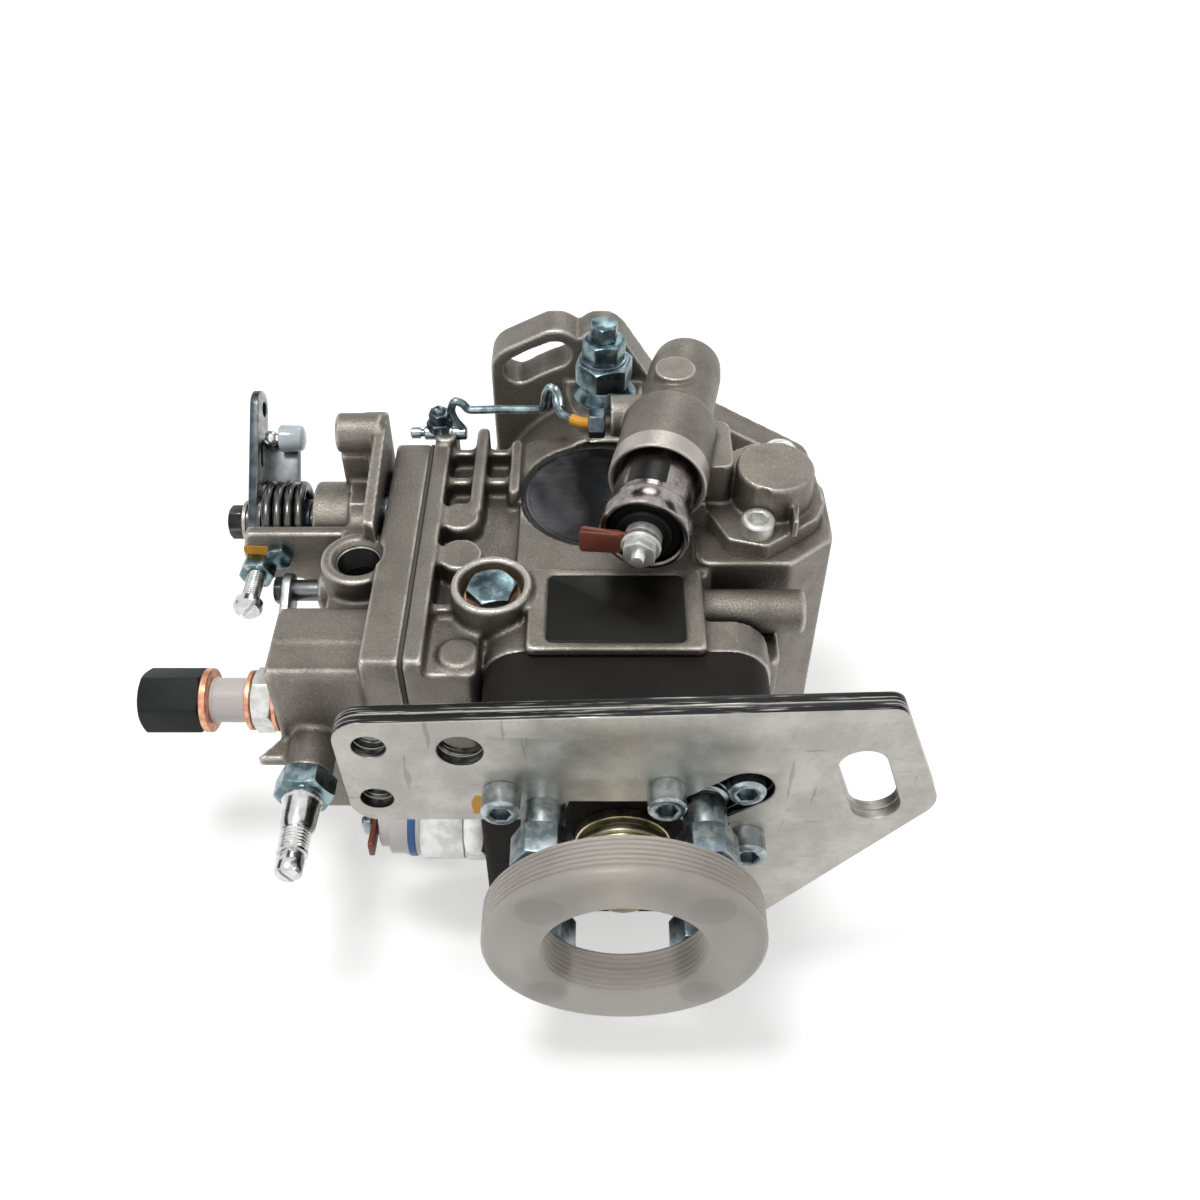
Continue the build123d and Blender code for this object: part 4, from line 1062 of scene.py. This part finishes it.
def strapOutline(first, last, steps=14):
    # outline round two discs, each given as (x, y, radius)
    a, b = Vector(first[:2]), Vector(last[:2])
    heading = atan2(b.y - a.y, b.x - a.x)
    lean = acos((first[2] - last[2]) / (b - a).length)
    made = []
    for centre, radius, start, sweep in ((a, first[2], heading + lean, 2 * pi - 2 * lean),
                                         (b, last[2], heading - lean, 2 * lean)):
        for i in range(steps + 1):
            angle = start + sweep * i / steps
            made.append((centre.x + radius * cos(angle), centre.y + radius * sin(angle)))
    return made


def makeThrottleLever():
    look = leverLook
    y, z = look["shaft"]
    tipY, tipZ = look["tip"]
    capY, capZ = look["cap"]
    hubRadius, tipRadius = look["radii"]
    on = "throttle_lever"
    outlines = [strapOutline((y, z, hubRadius), (tipY, tipZ, tipRadius)), discOutline(tipY + 1, tipZ - 1, 2.5),
                slotOutline(-30.6, 30.0, 8.5, 3.4, 42)]
    strap = plateFromOutlines("leverPlate", sideways(look["plateX"], 0, 0), outlines, look["sheet"], look["edge"],
                              "leverZinc", "control_lever", on)
    paintFaces(strap, "darkZinc", lambda at, out: abs(out.x) < 0.5)
    bm = bmesh.new()
    lathe(bm, sideways(-119.2, y, z), [(0, 5.05), (0, 8.6), (1.6, 8.8), (1.9, 8.0), (3.6, 8.0), (3.8, 7.6),
                                       (17.4, 7.6), (17.7, 7.2), (17.7, 5.05)], 48, closed=True)
    lathe(bm, sideways(-124.3, y, z), [(0, 3.05), (0, 6.1), (0.3, 6.5), (2.3, 6.5), (2.3, 3.05)], 40, closed=True)
    # bent arm that carries the end cap
    slab(bm, sideways(-119.1, 0, 0), rounded([(-36, 21.2), (-32, 17.4), (-20.8, 28.6), (-23.2, 31.0)],
                                             [1.5, 1.5, 1.2, 1.2]), 11)
    piece("leverArm", bm, "darkZinc", on, edge=0.4)
    bm = bmesh.new()
    lathe(bm, sideways(-119, y, z), [(0, 4.9), (37, 4.9)], 40)
    threaded(bm, leftward(-119, y, z), 3.0, 11.0, 0.8)
    lathe(bm, sideways(-116.4, capY, capZ), [(-2.6 * cos(pi * i / 16), max(0.05, 2.6 * sin(pi * i / 16)))
                                             for i in range(17)], 32)
    lathe(bm, sideways(-119, capY, capZ), [(0, 1.8), (6.4, 1.8)], 24)
    piece("controlShaft", bm, "chrome", on, "control_shaft")
    bm = bmesh.new()
    hexNut(bm, leftward(-124.4, y, z), 10, 4.9, bore=3.02, turn=radians(14))
    piece("leverNut", bm, "spring", on, edge=0.5)
    bm = bmesh.new()
    lathe(bm, leftward(-122.9, y, z), [(0, 3.05), (0, 7.0), (0.2, 7.2), (1.1, 7.2), (1.3, 7.0), (1.3, 3.05)], 40,
          closed=True)
    piece("leverWasher", bm, "bronze", on)
    bm = bmesh.new()
    lathe(bm, sideways(-113.2, capY, capZ), [(0, 1.82), (0, 4.2), (0.4, 4.6), (6.6, 4.35), (7.4, 3.9), (7.9, 2.8),
                                             (8.0, 0.05)], 40)
    piece("leverCap", bm, "icyPlastic", on, "lever_end_cap")


def makeStopLever():
    look = leverLook
    y, z = look["stopShaft"]
    tipY, tipZ = look["stopTip"]
    hubRadius, tipRadius = look["stopRadii"]
    outlines = [strapOutline((y, z, hubRadius), (tipY, tipZ, tipRadius)), discOutline(tipY, tipZ, 1.5)]
    plateFromOutlines("stopPlate", sideways(look["stopPlateX"], 0, 0), outlines, look["sheet"], look["edge"],
                      "leverZinc", "stop_lever", "stop_lever_body")
    bm = bmesh.new()
    lathe(bm, sideways(-108.4, y, z), [(0, 3.45), (24.3, 3.45)], 32)
    hexNut(bm, leftward(look["stopPlateX"], y, z), 8, 2.9)
    lathe(bm, leftward(-110.2, y, z), [(0, 2), (0.3, 2)], 20)
    piece("stopRod", bm, "darkZinc", "stop_lever_body", edge=0.15)


def makeReturnSpring():
    y, z = leverLook["shaft"]
    x, radius, wire, length, turns = leverLook["spring"]
    place = sideways(x, y, z)
    perTurn = 40
    points = []
    for i in range(int(turns * perTurn) + 1):
        angle = 2 * pi * i / perTurn
        rise = wire + (length - 2 * wire) * i / (turns * perTurn)
        points.append(place @ Vector((radius * cos(angle), radius * sin(angle), rise)))
    bm = bmesh.new()
    tubeAlong(bm, points, wire, 14)
    piece("returnSpring", bm, "spring", node="lever_return_spring", sharp=60)


columnLook = {"start": (22.9, -17.0, 60.0), "end": (4.6, -109.5, 60.0)}


def columnAt(along):
    out = (Vector(columnLook["end"]) - Vector(columnLook["start"])).normalized()
    return seat(Vector(columnLook["start"]) + out * along, (0, 0, 1), out)


solenoidLook = {
    "mouth": (59.6, 66.2, 14.4, 12.9),  # column's end: start, end, radius, bore
    "canRadius": 11.4,
    "rimRadius": 12.8,
    "rim": (80.4, 88.4),
    "label": (67.5, 77.5, -21, 37),  # start, end, and its sides in degrees from the top
}


def makeSolenoid():
    look = solenoidLook
    start, end, radius, bore = look["mouth"]
    bm = bmesh.new()
    lathe(bm, columnAt(0), [(start, bore), (start, radius), (end - 0.5, radius), (end, radius - 0.5),
                            (end, bore + 0.6), (end - 0.6, bore)], 96, closed=True)
    piece("columnMouth", bm, "cast", sharp=40)
    can, rimRadius = look["canRadius"], look["rimRadius"]
    low, high = look["rim"]
    bm = bmesh.new()
    lathe(bm, columnAt(0), [(46.5, 8.9), (58, 8.9), (58, can), (low - 1.0, can), (low, can + 0.2),
                            (low + 0.5, rimRadius - 0.4), (low + 1.2, rimRadius), (high - 1.5, rimRadius),
                            (high - 0.4, rimRadius - 0.3), (high, rimRadius - 0.9), (high, rimRadius - 1.6),
                            (high - 0.5, rimRadius - 2.1), (high - 4.4, 10.4)], 96)
    piece("solenoidCan", bm, "canChrome", node="cold_start_solenoid", sharp=40)
    bm = bmesh.new()
    steps = 16
    first, last, left, right = look["label"]
    swings = [radians(left + (right - left) * i / steps) for i in range(steps + 1)]
    rings(bm, columnAt(0), [[(r * cos(a), r * sin(a), along) for r, along in
                             ((can - 0.1, first), (can + 0.08, first), (can + 0.08, last), (can - 0.1, last))]
                            for a in swings])
    piece("solenoidLabel", bm, "plate")
    bm = bmesh.new()
    lathe(bm, columnAt(0), [(84.2, 10.3), (86.5, 10.3), (87.0, 9.8), (87.0, 8.0), (88.2, 7.7), (88.5, 7.2),
                            (88.5, 4.6)], 64)
    piece("solenoidCap", bm, "rubber", node="cold_start_cap", sharp=45)
    bm = bmesh.new()
    lathe(bm, columnAt(0), [(88.3, 5.2), (91.2, 5.3), (91.3, 2.1)], 40)
    lathe(bm, columnAt(92.6), [(0, 5.6), (0.7, 5.6), (1.1, 5.0)], 40)
    hexNut(bm, columnAt(93.2), 8.6, 3.6, start=False)
    threaded(bm, columnAt(96.6), 2.0, 2.6, 0.7)
    lathe(bm, columnAt(89), [(0, 2), (8, 2)], 20)
    piece("solenoidTerminal", bm, "zincPale", node="cold_start_terminal", edge=0.1)


shutoffLook = {"y": -145.0, "z": -17.0, "tagX": -71.6}


def makeShutoff():
    y, z = shutoffLook["y"], shutoffLook["z"]
    bm = bmesh.new()
    lathe(bm, leftward(-31.5, y, z), [(0, 7), (7.9, 7), (7.9, 8.5), (14.5, 8.5)], 48)
    hexNut(bm, leftward(-39.5, y, z), 20, 6.3, turn=radians(10))
    lathe(bm, leftward(-45.6, y, z), [(0, 10.0), (0.2, 10.6), (11.5, 10.6), (12.6, 10.2), (12.9, 9.4)], 64)
    piece("shutoffCan", bm, "zincPale", node="shutoff_solenoid", edge=0.15)
    bm = bmesh.new()
    lathe(bm, leftward(-58.5, y, z), [(0, 9.4), (4.4, 9.4), (4.6, 9.0), (8.6, 9.0), (9.0, 8.6), (9.1, 7.0),
                                      (11.6, 7.0), (12.0, 6.6), (12.0, 4.4)], 56)
    piece("shutoffConnector", bm, "nylon", node="shutoff_connector", edge=0.15)
    bm = bmesh.new()
    lathe(bm, leftward(-59.6, y, z), [(0, 9.45), (0.3, 9.75), (2.0, 9.75), (2.3, 9.45)], 56)
    piece("shutoffBand", bm, "bluePlastic")
    bm = bmesh.new()
    lathe(bm, leftward(-70.4, y, z), [(0, 4.0), (0.9, 4.0), (1.0, 2.0)], 32)
    threaded(bm, leftward(-71.2, y, z), 2.0, 5.3, 0.7)
    hexNut(bm, leftward(-73.15, y, z), 7, 2.4, bore=2.0)
    piece("shutoffTerminal", bm, "zincBlue", edge=0.1)


def makeFlags():
    # spade tags in their coloured sleeves
    bm = bmesh.new()
    tag = rounded([(-3.0, -3.0), (3.0, -3.0), (3.4, 17), (-2.6, 17)], [2, 2, 1.2, 1.2])
    slab(bm, columnAt(91.4), [(x + 0.2, y) for x, y in tag], 1.1)
    slab(bm, columnAt(90.9), rounded([(-3.4, 5.4), (3.4, 5.4), (2.6, 17.2), (-4.8, 17.2)], [1.2] * 4), 2.3)
    slab(bm, leftward(shutoffLook["tagX"], shutoffLook["y"], shutoffLook["z"]),
         rounded([(2.5, -2.8), (2.5, 2.8), (-11, 1.4), (-11, -4.6)], [1.2] * 4), 1.5)
    piece("terminalFlags", bm, "flag", node="terminal_flags", edge=0.3)


topLook = {
    "plug": (-37.0, -106.0),  # places along X and Y
    "disc": (-6.7, -59.4),
    "nameplate": (-1.8, -113.0),
    "lockBolt": (-5, -24),
    "plateHalf": (19.3, 13),
}


def makeTopFittings():
    look = topLook
    x, y = look["plug"]
    bm = bmesh.new()
    hexNut(bm, upward(x, y, 38.6), 13, 4.6, turn=radians(12), start=False)
    lathe(bm, upward(x, y, 27), [(0, 6), (11.7, 6)], 40)
    piece("sidePlug", bm, "zincTeal", node="side_plug", edge=0.25)
    bm = bmesh.new()
    lathe(bm, upward(*look["disc"], 35.2), [(0, 24.4), (0.5, 24.4), (0.8, 24.1), (1.1, 23.4), (1.2, 22.6), (1.0, 21.8),
                                            (0.85, 20.5), (1.05, 12), (1.25, 4), (1.3, 0.4)], 96)
    piece("sideDisc", bm, "disc", node="side_cover_disc", sharp=50)
    bm = bmesh.new()
    wide, high = look["plateHalf"]
    slab(bm, upward(*look["nameplate"], 40.3), rounded([(-wide, -high), (wide, -high), (wide, high), (-wide, high)],
                                                       [2] * 4), 1.0)
    piece("bareNameplate", bm, "plate", node="nameplate", edge=0.3)
    # shaft lock bolt: washer and cone at the foot, collar, three hexagons
    x, y = look["lockBolt"]
    bm = bmesh.new()
    lathe(bm, upward(x, y, 50.5), [(0, 10.2), (0.8, 10.4), (1.5, 10.0), (4.0, 8.6), (5.0, 8.2)], 56)
    for z, across, height, turn in ((55.0, 16.4, 8.4, 15), (64.0, 12, 7.0, 5), (71.0, 8, 5.5, 22)):
        hexNut(bm, upward(x, y, z), across, height, turn=radians(turn))
    lathe(bm, upward(x, y, 10.8), [(0, 4), (41, 4)], 32)
    lathe(bm, upward(x, y, 63.2), [(0, 7.2), (0.9, 7.2)], 40)
    piece("lockBolt", bm, "zincTeal", node="shaft_lock_bolt", edge=0.15)


wireLook = {
    "radius": 1.35,
    "rod": [(-51.3, -31.5, 41.5), (-53.4, -31.5, 45.0), (-54.3, -31.4, 48.6), (-53.0, -31.4, 52.0),
            (-50.6, -31.5, 51.4), (-48.6, -31.7, 49.2), (-45.0, -32.1, 49.3), (-38.4, -33.0, 50.2), (-30, -34.6, 51.3),
            (-25.2, -35.6, 52.3), (-23.9, -36.0, 54.6), (-23.3, -36.0, 58.4), (-21.8, -36.2, 60.9),
            (-20.3, -37.2, 59.6), (-19.8, -39.6, 57.6), (-18.4, -43.6, 56.7), (-15.4, -48.2, 57.9),
            (-12.5, -49.4, 57.5), (-6.0, -49.5, 57.2)],
    "strand": [(-25.4, -35.2, 50.9), (-22.6, -36.2, 53.4), (-21.8, -36.4, 57.4), (-20.2, -36.9, 60.9),
               (-18.7, -38.6, 58.9), (-18.4, -41.0, 57.2)],
    "rodAt": (-31.5, 39.6),  # along Y, along Z
    "boltX": -58.6,
    "endAt": (-49.5, 57.2),
}


def makeWire():
    look = wireLook
    bm = bmesh.new()
    tubeAlong(bm, smoothRoute(look["rod"]), look["radius"])
    tubeAlong(bm, smoothRoute(look["strand"]), look["radius"] * 0.8)
    piece("linkWire", bm, "zincTeal", node="link_wire")
    y, z = look["rodAt"]
    bm = bmesh.new()
    lathe(bm, sideways(-63.8, y, z), [(0, 1.9), (0.4, 2.3), (13.4, 2.3), (13.9, 1.9)], 32)
    lathe(bm, sideways(-68.2, y, z), [(0, 1.5), (0.4, 1.9), (3.2, 1.9), (3.2, 1.3), (5, 1.3)], 28)
    lathe(bm, sideways(-56.2, y, z), [(0, 2.6), (0.3, 2.9), (1.5, 2.9), (1.8, 2.6)], 32)
    piece("linkRod", bm, "zincTeal")
    bm = bmesh.new()
    hexNut(bm, upward(look["boltX"], y, z + 1.6), 7.4, 3.4, turn=radians(8))
    hexNut(bm, upward(look["boltX"] + 0.3, y, z + 5.0), 6.2, 3.6, turn=radians(20))
    lathe(bm, upward(look["boltX"] + 0.3, y, z + 8.5), [(0, 2.2), (0.8, 2.1), (1.4, 1.6), (1.7, 0.6)], 28)
    y, z = look["endAt"]
    hexNut(bm, sideways(-9.9, y, z), 8.2, 5.2)
    piece("linkNuts", bm, "zincNavy", edge=0.2)
    bm = bmesh.new()
    tubeAlong(bm, smoothRoute([(-15.2, -48.3, 57.9), (-12.5, -49.4, 57.5), (-9.6, -49.5, 57.2)]), 1.75)
    piece("orangeSleeve", bm, "orange")


stages = {
    "stage": [makeStage],
    "castings": [makeCastings],
    "threads, screws, bracket and outlets": [makePortLiner, makeShaftThread, makeScrews, makeBracket, makeOutlets],
    "overflow, adjusters and cold start": [makeOverflow, makeAdjusters, makeSolenoid],
    "levers": [makeThrottleLever, makeStopLever, makeReturnSpring],
    "tags, shut-off, top fittings and wire": [makeFlags, makeShutoff, makeTopFittings, makeWire],
    "floor and cards": [makeFloor, makeCards],
}
for label, makers in stages.items():
    for make in makers:
        make()
    print(label, "made")
